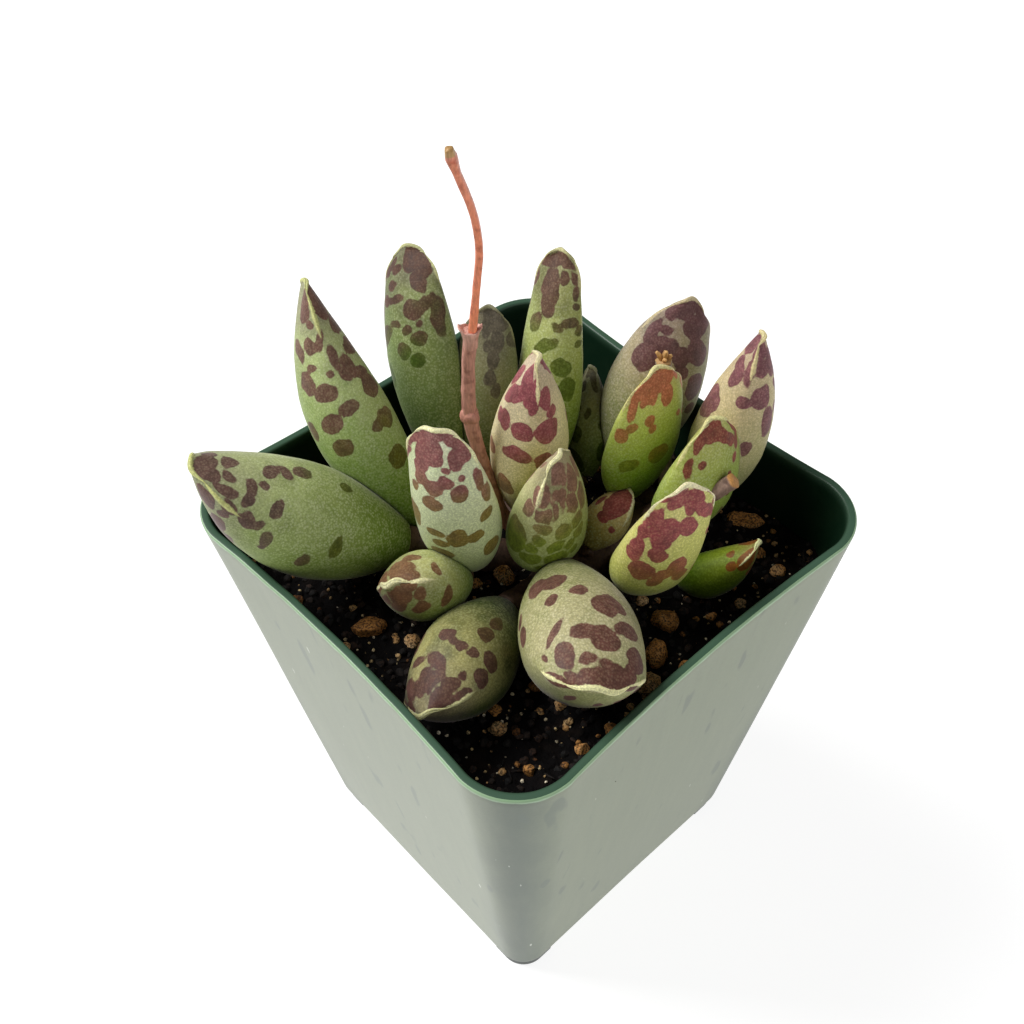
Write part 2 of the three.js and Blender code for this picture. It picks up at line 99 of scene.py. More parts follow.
def linear(colour: str) -> tuple[float, float, float, float]:
    """Turn an sRGB hex colour into linear red, green, blue and alpha.

    Args:
        colour: six hex digits after a hash.

    Returns:
        The colour as a shader socket takes it.
    """
    channels = [int(colour[i : i + 2], 16) / 255 for i in (1, 3, 5)]
    red, green, blue = [c / 12.92 if c <= 0.04045 else ((c + 0.055) / 1.055) ** 2.4 for c in channels]
    return red, green, blue, 1.0


def node(
    tree: Tree,
    kind: str,
    settings: dict | None = None,
    inputs: dict | None = None,
    output: str | int | None = None,
) -> Socket | None:
    """Add a node with its settings, and fill or link its inputs.

    Args:
        tree: the shader or geometry tree.
        kind: the node's type name.
        settings: properties of the node by name.
        inputs: values or sockets by the input's name or index.
        output: the output to hand back, or the first that is in use.

    Returns:
        The output socket, or None for a node without outputs.
    """
    made = tree.nodes.new(kind)
    for name, value in (settings or {}).items():
        setattr(made, name, value)
    for key, value in (inputs or {}).items():
        if isinstance(value, Socket):
            tree.links.new(value, made.inputs[key])
        else:
            made.inputs[key].default_value = value
    if output is not None:
        return made.outputs[output]
    return next((socket for socket in made.outputs if socket.enabled), None)


def coat(
    tree: Tree, under: Socket, mask: Socket, start: float, full: float, tint: str, most: float = 1.0
) -> Socket:
    """Lay a colour over another where a mask lets it through, with a soft edge.

    Args:
        tree: the material's tree.
        under: the colour that it covers.
        mask: the value that decides where it lies.
        start: the mask's value at which it begins.
        full: the mask's value from which it is full.
        tint: its sRGB hex colour.
        most: how much it covers where it is full.

    Returns:
        The colour with its coat.
    """
    share = node(tree, RANGE, SMOOTH, {"Value": mask, "From Min": start, "From Max": full, "To Max": most})
    return node(tree, MIX, COLOURS, {0: share, 6: under, 7: linear(tint)})


def mottle(
    tree: Tree, under: Socket, pattern: Socket, low: float, high: float, dark: float, bright: float
) -> Socket:
    """Darken and brighten a colour by a pattern.

    Args:
        tree: the material's tree.
        under: the colour.
        pattern: the value that decides where.
        low: the pattern's value where the colour is multiplied by dark.
        high: the pattern's value where the colour is multiplied by bright.
        dark: the first factor.
        bright: the second factor.

    Returns:
        The mottled colour.
    """
    factor = node(
        tree,
        RANGE,
        inputs={"Value": pattern, "From Min": low, "From Max": high, "To Min": dark, "To Max": bright},
    )
    return node(tree, VECTOR_MATH, SCALE, {0: under, "Scale": factor})


def blank_material(name: str) -> tuple[Material, Tree, Socket]:
    """Make a material whose tree holds only the coordinates of the object.

    Args:
        name: the material's name.

    Returns:
        The material, its tree and the coordinates' socket.
    """
    material = bpy.data.materials.new(name)
    material.use_nodes = True
    material.node_tree.nodes.clear()
    place = node(material.node_tree, "ShaderNodeTexCoord", output="Object")
    return material, material.node_tree, place


def close_material(tree: Tree, inputs: dict) -> None:
    """Give a material its surface, from values and sockets by the shader's input names."""
    surface = node(tree, "ShaderNodeBsdfPrincipled", inputs=inputs)
    node(tree, "ShaderNodeOutputMaterial", inputs={"Surface": surface})


def rough(points: np.ndarray, size: float, seed: int) -> np.ndarray:
    """Smooth random field over points in space.

    Args:
        points: places in millimetres, in rows.
        size: how far apart the field's bumps lie, in millimetres.
        seed: fixes the random values.

    Returns:
        A value from -1 to 1 for each point.
    """
    cell = points / size + LATTICE_SHIFT
    base = np.floor(cell).astype(np.int64)
    part = cell - base
    part = part * part * (3 - 2 * part)
    table = np.random.default_rng(seed).uniform(-1, 1, LATTICE_VALUES)
    total = np.zeros(len(points))
    for corner in itertools.product((0, 1), repeat=3):
        key = np.bitwise_xor.reduce((base + np.array(corner)) * LATTICE_PRIMES, axis=1)
        weight = np.prod(np.where(np.array(corner) == 1, part, 1 - part), axis=1)
        total += table[key % LATTICE_VALUES] * weight
    return total


def smooth_step(low: float, high: float, value: np.ndarray) -> np.ndarray:
    """Rise smoothly from 0 at low to 1 at high."""
    share = np.clip((value - low) / (high - low), 0, 1)
    return share * share * (3 - 2 * share)


@dataclass
class Skin:
    """A closed skin in millimetres, with values kept for each point and a finish for each face."""

    points: np.ndarray
    faces: list[tuple[int, ...]]
    values: dict[str, np.ndarray] = field(default_factory=dict)
    finishes: list[int] = field(default_factory=list)

    def paint(self, finish: int) -> "Skin":
        """Give every face one finish, by its index, and hand the skin back."""
        self.finishes = [finish] * len(self.faces)
        return self


def loft(rings: np.ndarray, values: dict[str, np.ndarray] | None = None) -> Skin:
    """Close a skin over rings of equally many points, counter-clockwise seen from the far end.

    Args:
        rings: points in millimetres, as rings by sides by three.
        values: values for each point, as rings by sides.

    Returns:
        The skin with both ends closed.
    """
    count, sides = rings.shape[:2]
    start = np.arange(count - 1)[:, None] * sides
    near = np.arange(sides)
    after = (near + 1) % sides
    quads = np.stack([start + near, start + after, start + after + sides, start + near + sides], axis=-1)
    faces = [tuple(quad) for quad in quads.reshape(-1, 4).tolist()]
    first_hub = count * sides
    last = (count - 1) * sides
    for a, b in zip(near.tolist(), after.tolist()):
        faces.append((first_hub, b, a))
        faces.append((first_hub + 1, last + a, last + b))
    points = np.vstack([rings.reshape(-1, 3), rings[0].mean(axis=0), rings[-1].mean(axis=0)])
    kept = {
        name: np.concatenate([value.reshape(-1), [value[0].mean(), value[-1].mean()]])
        for name, value in (values or {}).items()
    }
    return Skin(points, faces, kept)


def join(skins: list[Skin]) -> Skin:
    """Put several skins in one, with their values and finishes.

    Args:
        skins: the skins in order.

    Returns:
        One skin that holds them all.
    """
    points, faces, finishes = [], [], []
    names = {name for skin in skins for name in skin.values}
    values: dict[str, list[np.ndarray]] = {name: [] for name in names}
    offset = 0
    for skin in skins:
        points.append(skin.points)
        faces += [tuple(index + offset for index in face) for face in skin.faces]
        finishes += skin.finishes or [0] * len(skin.faces)
        for name in names:
            values[name].append(skin.values.get(name, np.zeros(len(skin.points))))
        offset += len(skin.points)
    return Skin(np.vstack(points), faces, {n: np.concatenate(v) for n, v in values.items()}, finishes)


def build_object(name: str, skin: Skin, materials: list[Material], crease: float = 180.0) -> bpy.types.Object:
    """Make a mesh object in metres from a skin.

    Args:
        name: the object's name.
        skin: the skin in millimetres.
        materials: the finishes that the skin's faces point at.
        crease: edges sharper than this angle in degrees stay crisp.

    Returns:
        The object, linked to the scene at the origin.
    """
    mesh = bpy.data.meshes.new(name)
    mesh.from_pydata((skin.points * MM).tolist(), [], skin.faces)
    if skin.finishes:
        mesh.polygons.foreach_set("material_index", skin.finishes)
    for value_name, value in skin.values.items():
        layer = mesh.attributes.new(value_name, "FLOAT", "POINT")
        layer.data.foreach_set("value", value.astype(np.float32))
    mesh.shade_smooth()
    if crease < 180.0:
        mesh.set_sharp_from_angle(angle=math.radians(crease))
    mesh.update()
    made = bpy.data.objects.new(name, mesh)
    bpy.context.scene.collection.objects.link(made)
    for material in materials:
        made.data.materials.append(material)
    return made


def bake_modifiers(made: bpy.types.Object) -> None:
    """Turn an object's modifiers into plain mesh and remove them.

    Args:
        made: the object, which keeps its name and place.
    """
    graph = bpy.context.evaluated_depsgraph_get()
    result = bpy.data.meshes.new_from_object(made.evaluated_get(graph))
    made.modifiers.clear()
    made.data = result


def settle(made: bpy.types.Object, slot: Slot, *nodes: str) -> None:
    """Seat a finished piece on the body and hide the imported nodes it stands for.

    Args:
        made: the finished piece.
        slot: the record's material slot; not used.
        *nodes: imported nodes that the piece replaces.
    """
    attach(made, BODY)
    if nodes:
        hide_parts(*nodes)
    log.info("%s: %d faces", made.name, len(made.data.polygons))


def curve_through(knots: np.ndarray, steps: int) -> tuple[np.ndarray, np.ndarray]:
    """Follow a centripetal curve through knots of x, y, z and radius.

    Args:
        knots: rows of x, y, z and radius in millimetres.
        steps: steps between two knots.

    Returns:
        The points along the curve and the radius at each.
    """
    places = knots[:, :3]
    padded = np.vstack([2 * places[0] - places[1], places, 2 * places[-1] - places[-2]])
    points, radii = [], []
    for i in range(len(knots) - 1):
        before, start, end, after = padded[i : i + 4]
        d0, d1, d2 = [math.sqrt(np.linalg.norm(step)) for step in (start - before, end - start, after - end)]
        leave = ((start - before) / d0 - (end - before) / (d0 + d1) + (end - start) / d1) * d1
        arrive = ((end - start) / d1 - (after - start) / (d1 + d2) + (after - end) / d2) * d1
        last = i == len(knots) - 2
        for share in np.linspace(0, 1, steps + 1)[: steps + 1 if last else steps]:
            s2, s3 = share**2, share**3
            point = (2 * s3 - 3 * s2 + 1) * start + (s3 - 2 * s2 + share) * leave
            points.append(point + (3 * s2 - 2 * s3) * end + (s3 - s2) * arrive)
            radii.append(knots[i, 3] + (knots[i + 1, 3] - knots[i, 3]) * share)
    return np.array(points), np.array(radii)


def tube(
    knots: list, sides: int, steps: int, ribs: int = 0, rib_depth: float = 0.0, grain: float = 0.0
) -> Skin:
    """Build a woody bar along a curve, with ribs along it and a rough surface.

    Args:
        knots: rows of x, y, z and radius in millimetres.
        sides: points round the bar.
        steps: steps between two knots.
        ribs: ribs round the bar.
        rib_depth: the ribs' share of the radius.
        grain: the roughness's share of the radius.

    Returns:
        The bar's skin, with its share of the length as the value "along".
    """
    middle, radii = curve_through(np.array(knots, dtype=float), steps)
    tangent = np.gradient(middle, axis=0)
    tangent /= np.linalg.norm(tangent, axis=1)[:, None]
    angle = np.linspace(0, 2 * math.pi, sides, endpoint=False)
    across = np.array([1.0, 0.0, 0.0])
    rings = []
    for point, direction, radius in zip(middle, tangent, radii):
        across = across - direction * across.dot(direction)
        across /= np.linalg.norm(across)
        other = np.cross(direction, across)
        reach = radius * (1 + rib_depth * np.cos(ribs * angle))
        rings.append(point + np.outer(reach * np.cos(angle), across) + np.outer(reach * np.sin(angle), other))
    rings = np.array(rings)
    if grain:
        flat = rings.reshape(-1, 3)
        (much, broad, first), (less, fine, second) = BARK_FIELDS
        swell = much * rough(flat, broad, first) + less * rough(flat * [1, 1, 0.5], fine, second)
        outward = (rings - middle[:, None]).reshape(-1, 3)
        rings = (flat + outward * (grain * swell)[:, None]).reshape(rings.shape)
    along = np.repeat(np.linspace(0, 1, len(middle))[:, None], sides, axis=1)
    return loft(rings, {"along": along})


# The photograph's viewpoint.


@dataclass(frozen=True)
class Viewpoint:
    """Where the photograph was taken from, in millimetres and degrees."""

    aim: tuple[float, float, float] = (-0.78, -1.63, 70.53)
    azimuth: float = -41.85
    elevation: float = 48.5
    roll: float = -1.31
    distance: float = 158.1

    def back(self) -> np.ndarray:
        """Direction from the aim to the viewpoint.

        Returns:
            A direction of length one.
        """
        azimuth, elevation = math.radians(self.azimuth), math.radians(self.elevation)
        flat = math.cos(elevation)
        return np.array([math.cos(azimuth) * flat, math.sin(azimuth) * flat, math.sin(elevation)])

    def place(self) -> np.ndarray:
        """The viewpoint itself, in millimetres."""
        return np.array(self.aim) + self.back() * self.distance


VIEWPOINT = Viewpoint()


# Leaves.


@dataclass(frozen=True)
class LeafSkin:
    """Living succulent leaf with a waxy bloom: soft satin, pale with blotches, and a horny cream margin."""

    flesh_low: str
    flesh_high: str
    spot_low: str
    spot_high: str
    margin: str
    bloom: str = "#b6bc98"
    bloom_amount: float = 0.3
    # Where the blotches turn to their upper colour, as a share of the length, and how much haze they keep.
    turn_at: float = 0.5
    spot_fade: float = 0.04
    margin_width: float = 0.34
    tip_tint: str = "#8a6a5e"
    tip_share: float = 0.0
    # How strong the deeper green clouds are, how much flesh shows between blotches that meet, how far the
    # margin runs down from the tip in millimetres, and how far the turned-down side goes to deeper green and
    # painted shade.
    shade: float = 0.5
    seam: float = 0.0
    margin_run: float = 3.5
    underside_green_and_shade: float = 0.7

    # Spacing in millimetres and detail of the clouds, patches, cells and grain, and the cells' spacing.
    PATTERNS = ((5.0, 2.0), (1.1, 3.0), (0.34, 2.0), (0.17, 1.0))
    CELL = 0.3
    TURN_OVER = 0.4

    def material(self, name: str) -> Material:
        """Build the skin's material.

        Args:
            name: the leaf's name, which ends the material's name.

        Returns:
            The material, which reads the leaf's along, spot, margin and up values.
        """
        material, tree, place = blank_material("waxy_leaf_skin_" + name)
        along, spot, margin, up = [
            node(tree, ATTRIBUTE, {"attribute_name": value}, output="Fac")
            for value in ("along", "spot", "margin", "up")
        ]
        # Cells of the skin show as a fine grain, broad shading as soft clouds.
        clouds, patches, cells, grain = [
            node(
                tree,
                NOISE,
                inputs={"Vector": place, "Scale": 1 / (size * MM), "Detail": detail, "Roughness": 0.6},
            )
            for size, detail in self.PATTERNS
        ]
        cells_apart = {"Vector": place, "Scale": 1 / (self.CELL * MM)}
        dots = node(tree, "ShaderNodeTexVoronoi", inputs=cells_apart, output="Distance")
        # Green low down turns to the paler upper part, with deeper green clouds in it.
        height = node(tree, MATH, MULTIPLY_ADD, {0: clouds, 1: 0.5, 2: along})
        rise = node(tree, RANGE, SMOOTH, {"Value": height, "From Min": 0.35, "From Max": 1.0})
        low = linear(self.flesh_low)
        flesh = node(tree, MIX, COLOURS, {0: rise, 6: low, 7: linear(self.flesh_high)})
        flesh = coat(tree, flesh, clouds, 0.44, 0.7, self.flesh_low, self.shade)
        # Turned down, the skin has less wax and shows its deeper green; the darkening there is also painted
        # shade.
        under = node(
            tree, RANGE, SMOOTH, {"Value": up, "From Min": 0.6, "From Max": -0.3, "To Max": self.underside_green_and_shade}
        )
        flesh = node(tree, MIX, COLOURS, {0: under, 6: flesh, 7: low})
        # The wax sits as a pale dot on each cell of the skin, more of it in soft patches.
        dot = node(tree, RANGE, SMOOTH, {"Value": dots, "From Min": 0.8, "From Max": 0.15})
        thin, thick = self.bloom_amount * 0.7, self.bloom_amount * 1.8
        film = node(
            tree,
            RANGE,
            SMOOTH,
            {"Value": patches, "From Min": 0.34, "From Max": 0.66, "To Min": thin, "To Max": thick},
        )
        wax = node(tree, MATH, MULTIPLY, {0: dot, 1: film})
        bare = node(tree, MATH, MULTIPLY_ADD, {0: under, 1: -0.8, 2: 1.0})
        wax = node(tree, MATH, MULTIPLY, {0: wax, 1: bare})
        flesh = node(tree, MIX, COLOURS, {0: wax, 6: flesh, 7: linear(self.bloom)})
        if self.tip_share > 0:
            flesh = coat(tree, flesh, height, 0.85, 1.25, self.tip_tint, self.tip_share)
        # Blotches: olive low on the leaf, purple above, with a crisp uneven edge and hazy inner mottling.
        turning = {"Value": height, "From Min": self.turn_at, "From Max": self.turn_at + self.TURN_OVER}
        turn = node(tree, RANGE, SMOOTH, turning)
        stain = node(tree, MIX, COLOURS, {0: turn, 6: linear(self.spot_low), 7: linear(self.spot_high)})
        stain = mottle(tree, stain, patches, 0.32, 0.68, 0.74, 1.28)
        haze = node(
            tree,
            RANGE,
            inputs={"Value": wax, "From Max": 0.4, "To Min": self.spot_fade, "To Max": self.spot_fade + 0.1},
        )
        stain = node(tree, MIX, COLOURS, {0: haze, 6: stain, 7: flesh})
        ragged = node(tree, MATH, SUBTRACT, {0: patches, 1: 0.5})
        ragged = node(tree, MATH, MULTIPLY_ADD, {0: ragged, 1: 0.4, 2: spot})
        fine = node(tree, MATH, SUBTRACT, {0: cells, 1: 0.5})
        ragged = node(tree, MATH, MULTIPLY_ADD, {0: fine, 1: 0.14, 2: ragged})
        flesh = coat(tree, flesh, ragged, -0.4, -0.08, self.bloom, 0.1)
        inside = node(tree, RANGE, SMOOTH, {"Value": ragged, "From Min": -0.1, "From Max": 0.06})
        colour = node(tree, MIX, COLOURS, {0: inside, 6: flesh, 7: stain})
        # The horny margin is a thin raised cream line along the edge of the tip.
        edge = node(tree, MATH, MULTIPLY_ADD, {0: fine, 1: 0.5, 2: margin})
        faint, full = self.margin_width * 1.35, self.margin_width * 0.7
        colour = coat(tree, colour, edge, faint, full, self.margin, 0.92)
        colour = mottle(tree, colour, grain, 0.3, 0.7, 0.84, 1.16)
        colour = mottle(tree, colour, dots, 0.1, 0.65, 1.13, 0.85)
        relief = node(tree, MATH, MULTIPLY_ADD, {0: cells, 1: 0.5, 2: grain})
        relief = node(tree, BUMP, inputs={"Strength": 0.22, "Distance": 0.1 * MM, "Height": relief})
        satin = node(
            tree,
            RANGE,
            inputs={"Value": patches, "From Min": 0.3, "From Max": 0.7, "To Min": 0.45, "To Max": 0.6},
        )
        surface = {
            "Base Color": colour,
            "Roughness": satin,
            "Normal": relief,
            "IOR": 1.4,
            "Specular IOR Level": 0.25,
            "Subsurface Weight": 0.12,
            "Subsurface Radius": (1.0, 0.9, 0.35),
            "Subsurface Scale": 1.0 * MM,
            "Sheen Weight": 0.2,
            "Sheen Roughness": 0.35,
            "Sheen Tint": linear("#dccfd6"),
        }
        close_material(tree, surface)
        return material


@dataclass(frozen=True)
class Blotch:
    """One blotch: its middle as share of the length and angle round the leaf, its size in mm and its turn."""

    along: float
    angle: float
    long: float
    wide: float
    turn: float = 0.0


@dataclass
class PloverLeaf:
    """A leaf: a round neck that swells to a fat body and thins to a wedge with a waved horny margin."""

    # Angles are in degrees, sizes in millimetres. The tip is a share of the width, and fat is the share of
    # the length at which the leaf is fullest.
    name: str
    root: tuple[float, float, float]
    heading: float
    rise: float
    roll: float
    bow: float
    length: float
    width: float
    depth: float
    tip: float
    fat: float
    wave: float
    skin: LeafSkin
    marks: list[tuple[float, ...]] = field(default_factory=list)
    seed: int = 1

    RINGS = 132
    SIDES = 88
    NECK_SHARE = 0.36
    MARGIN_HALF = 0.35
    WEDGE_SHARPNESS = 0.7
    SHOULDER_START = 0.9
    SHOULDER_DROP = 0.55
    TIP_ARCH = 0.14
    ROUND_RINGS = 5
    RING_CROWDING = 1.15
    SWELL_POWER = 0.85
    REACH = 1.5
    # Spacing and height in millimetres of the skin's lumps, and of the way the blotches' edges wander.
    LUMPS = ((4.5, 0.1), (1.6, 0.035))
    DRIFTS = ((2.1, 0.3), (0.9, 0.18))
    BEAD_HEIGHT = 0.1
    BEAD_WIDTH = 0.3
    # Thrown blotches: how many are tried, from which share of the length, their sizes and their turn.
    THROWN = 80
    THROWN_FROM = 0.92
    TOWARDS_TIP = 1.25
    THROWN_WIDTHS = (0.7, 1.5, 0.5)
    THROWN_STRETCH = (1.15, 0.9)
    THROWN_TURN = 28
    SPACING = (0.55, 0.12)
    TIP_FROM = 0.8
    TIP_SPACING = 0.7

    @property
    def node_name(self) -> str:
        """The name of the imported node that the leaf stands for."""
        return "leaf_" + self.name

    def axes(self) -> tuple[np.ndarray, np.ndarray, np.ndarray]:
        """Directions of the leaf at its root.

        Returns:
            The axis, the direction across the leaf and the direction of its flat face.
        """
        heading, rise, roll = [math.radians(angle) for angle in (self.heading, self.rise, self.roll)]
        flat = math.cos(rise)
        axis = np.array([math.cos(heading) * flat, math.sin(heading) * flat, math.sin(rise)])
        level = np.cross(axis, UP)
        level /= np.linalg.norm(level)
        lift = np.cross(level, axis)
        across = level * math.cos(roll) + lift * math.sin(roll)
        face = lift * math.cos(roll) - level * math.sin(roll)
        return axis, across, face

    def rings(self) -> tuple[np.ndarray, np.ndarray]:
        """Work out the leaf's surface.

        Returns:
            Points in millimetres as rings by sides by three, and each ring's share of the length.
        """
        axis, across, face = self.axes()
        angle = np.linspace(0, 2 * math.pi, self.SIDES, endpoint=False)
        x, sine = np.cos(angle), np.sin(angle)
        end = 1 - self.MARGIN_HALF / self.length
        body_shares = np.sin(np.linspace(0, 1, self.RINGS) * math.pi / 2) ** self.RING_CROWDING * end
        shares = np.concatenate([body_shares, np.full(self.ROUND_RINGS, end)])
        rounding = np.linspace(0, math.pi / 2, self.ROUND_RINGS + 1)[1:]
        quarter = np.concatenate([np.zeros(self.RINGS), rounding])
        rings = []
        for share, lip in zip(shares, quarter):
            bow = math.atan(2 * self.bow * share / self.length)
            along = axis * math.cos(bow) + face * math.sin(bow)
            out = face * math.cos(bow) - axis * math.sin(bow)
            middle = np.array(self.root) + axis * self.length * share + face * self.bow * share**2
            swelling = math.sin(min(1, share / self.fat) * math.pi / 2) ** self.SWELL_POWER
            body = self.NECK_SHARE + (1 - self.NECK_SHARE) * swelling
            wedge = max(0.0, (share - self.fat) / (1 - self.fat))
            near_tip = max(0.0, (share - self.SHOULDER_START) / (1 - self.SHOULDER_START))
            shoulder = math.sqrt(1 - self.SHOULDER_DROP * near_tip**2)
            half_width = self.width / 2 * body * (1 - (1 - self.tip) * wedge**2) * shoulder
            half_depth = max(self.depth / 2 * body * (1 - wedge**2), self.MARGIN_HALF)
            half_width -= self.MARGIN_HALF * (1 - math.cos(lip))
            half_depth *= max(math.cos(lip), 0.02)
            y = np.sign(sine) * np.abs(sine) ** (1 + self.WEDGE_SHARPNESS * wedge**2)
            wave = self.wave * np.sin(1.5 * math.pi * x + self.heading) * wedge**5
            arch = self.width * self.TIP_ARCH * x**2 * wedge**3
            push = self.MARGIN_HALF * math.sin(lip) - arch
            flat = middle + np.outer(half_width * x, across)
            rings.append(flat + np.outer(half_depth * y + wave, out) + np.outer(push, along))
        return np.array(rings), np.concatenate([body_shares, np.full(self.ROUND_RINGS, 1.0)])

    def scattered(self, rings: np.ndarray, shares: np.ndarray, chosen: list[Blotch]) -> list[Blotch]:
        """Throw blotches over the leaf, denser and larger towards the tip.

        Listed blotches cover the side that faces the viewpoint, so on a leaf that has them none is
        thrown there.

        Args:
            rings: the leaf's surface.
            shares: each ring's share of the length.
            chosen: blotches that are already placed.

        Returns:
            The thrown blotches.
        """
        rng = np.random.default_rng(self.seed)
        outward = rings - rings.mean(axis=1)[:, None]
        facing = np.sum(outward * (VIEWPOINT.place() - rings), axis=2) > 0
        thrown: list[Blotch] = []
        girth = math.pi * (self.width + self.depth) / 2
        smallest, spread, wider_at_tip = self.THROWN_WIDTHS
        stretch_least, stretch_more = self.THROWN_STRETCH
        for _ in range(self.THROWN):
            along = 1 - self.THROWN_FROM * rng.random() ** self.TOWARDS_TIP
            angle = 360 * rng.random()
            wide = smallest + spread * rng.random() ** 1.6 + wider_at_tip * along**3
            long = wide * (stretch_least + stretch_more * rng.random())
            turn = rng.normal(0, self.THROWN_TURN)
            ring = min(int(np.searchsorted(shares, along)), len(shares) - 1)
            crowded = bool(chosen) and bool(facing[ring, int(angle / 360 * self.SIDES)])
            for other in chosen + thrown:
                around = abs((angle - other.angle + 180) % 360 - 180) / 360 * girth
                apart = math.hypot((along - other.along) * self.length, around)
                room = self.SPACING[0] * (wide + other.wide) + self.SPACING[1] * (long + other.long)
                crowded = crowded or apart < room * (1.0 if along < self.TIP_FROM else self.TIP_SPACING)
            if not crowded:
                thrown.append(Blotch(along, angle, long, wide, turn))
        return thrown

    def spot_field(self, rings: np.ndarray, shares: np.ndarray) -> np.ndarray:
        """Distance in millimetres inside the nearest blotch's edge, below zero outside.

        Args:
            rings: the leaf's surface.
            shares: each ring's share of the length.

        Returns:
            The distances, as rings by sides.
        """
        chosen = [Blotch(*mark) for mark in self.marks]
        flat = rings.reshape(-1, 3)
        shape = rings.shape[:2]
        drift = []
        (broad, far), (fine, near) = self.DRIFTS
        for start in (self.seed + 100, self.seed + 200):
            wander = far * rough(flat, broad, start) + near * rough(flat, fine, start + 50)
            drift.append(wander.reshape(shape))
        steps = np.linalg.norm(np.roll(rings, -1, axis=1) - rings, axis=2)
        around = np.cumsum(steps, axis=1) - steps
        girth = steps.sum(axis=1)[:, None]
        middle = rings.mean(axis=1)
        travel = np.concatenate([[0], np.cumsum(np.linalg.norm(np.diff(middle, axis=0), axis=1))])
        best = np.full(shape, -self.REACH)
        second = np.full(shape, -self.REACH)
        for blotch in chosen + self.scattered(rings, shares, chosen):
            column = blotch.angle % 360 / 360 * self.SIDES
            left = int(column)
            centre = (around[:, left] + steps[:, left] * (column - left))[:, None]
            gap_round = (around - centre + girth / 2) % girth - girth / 2 + drift[1]
            gap_along = (travel - np.interp(blotch.along, shares, travel))[:, None] + drift[0]
            cos, sin = math.cos(math.radians(blotch.turn)), math.sin(math.radians(blotch.turn))
            one = (gap_along * cos + gap_round * sin) / (blotch.long / 2)
            two = (gap_round * cos - gap_along * sin) / (blotch.wide / 2)
            inside = (1 - np.hypot(one, two)) * min(blotch.long, blotch.wide) / 2
            second = np.maximum(second, np.minimum(best, inside))
            best = np.maximum(best, inside)
        if self.skin.seam:
            best = np.minimum(best, (best - second) / 2 - self.skin.seam)
        return np.clip(best, -self.REACH, self.REACH)

    def margin_field(self, rings: np.ndarray, shares: np.ndarray) -> np.ndarray:
        """Distance in millimetres from the horny margin.

        Args:
            rings: the leaf's surface.
            shares: each ring's share of the length.

        Returns:
            The distances, as rings by sides.
        """
        half = self.SIDES // 2
        steps = np.linalg.norm(np.roll(rings, -1, axis=1) - rings, axis=2)
        around = np.cumsum(steps, axis=1) - steps
        girth = steps.sum(axis=1)[:, None]
        from_first = np.minimum(around, girth - around)
        from_second = np.abs(around - around[:, half : half + 1])
        to_end = np.repeat((1 - shares)[:, None] * self.length, self.SIDES, axis=1)
        sides = np.minimum(from_first, from_second) + 0.25 * np.clip(to_end - self.skin.margin_run, 0, None)
        return np.clip(np.minimum(sides, to_end), 0, 5)

    def skin_mesh(self) -> Skin:
        """Build the leaf's skin with the values its finish reads.

        Returns:
            The closed skin, with along, spot, margin and up for each point.
        """
        rings, shares = self.rings()
        spot = self.spot_field(rings, shares)
        margin = self.margin_field(rings, shares)
        middle = rings.mean(axis=1)[:, None]
        outward = rings - middle
        outward /= np.maximum(np.linalg.norm(outward, axis=2), 1e-6)[:, :, None]
        flat = rings.reshape(-1, 3)
        (broad, high), (fine, low) = self.LUMPS
        lumps = high * rough(flat, broad, self.seed + 300) + low * rough(flat, fine, self.seed + 400)
        bead = self.BEAD_HEIGHT * np.exp(-((margin / self.BEAD_WIDTH) ** 2))
        calm = smooth_step(0.0, self.REACH, margin)
        raised = lumps.reshape(margin.shape) * calm + bead - self.BEAD_HEIGHT
        rings = rings + outward * raised[:, :, None]
        along = np.repeat(shares[:, None], self.SIDES, axis=1)
        values = {"along": along, "spot": spot, "margin": margin, "up": outward[:, :, 2]}
        return loft(rings[:, ::-1], {name: value[:, ::-1] for name, value in values.items()})


@dataclass
class Rosette:
    """All the leaves, each pressed clear of those before it."""

    leaves: list[PloverLeaf]
    clearance: float = 0.12
    search_room: float = 0.2

    def press_clear(self, skin: Skin, others: list[tuple[BVHTree, np.ndarray, np.ndarray]]) -> None:
        """Push a leaf's points out of the leaves that were made before it.

        Args:
            skin: the leaf's skin, changed in place.
            others: a search tree and the box corners of each earlier leaf.
        """
        for tree, low, high in others:
            near = np.all((skin.points > low) & (skin.points < high), axis=1)
            for index in np.nonzero(near)[0]:
                point = Vector(skin.points[index])
                spot, normal, _, _ = tree.find_nearest(point)
                if (point - spot).dot(normal) < self.clearance:
                    skin.points[index] = spot + normal * self.clearance

    def build(self) -> None:
        """Build every leaf, dress it and seat it."""
        others: list[tuple[BVHTree, np.ndarray, np.ndarray]] = []
        for leaf in self.leaves:
            skin = leaf.skin_mesh()
            self.press_clear(skin, others)
            tree = BVHTree.FromPolygons([tuple(p) for p in skin.points], skin.faces)
            low, high = skin.points.min(axis=0) - self.search_room, skin.points.max(axis=0) + self.search_room
            others.append((tree, low, high))
            made = build_object(leaf.name + "_leaf", skin, [leaf.skin.material(leaf.name)])
            settle(made, Slot.LEAF, leaf.node_name)


# Pot.


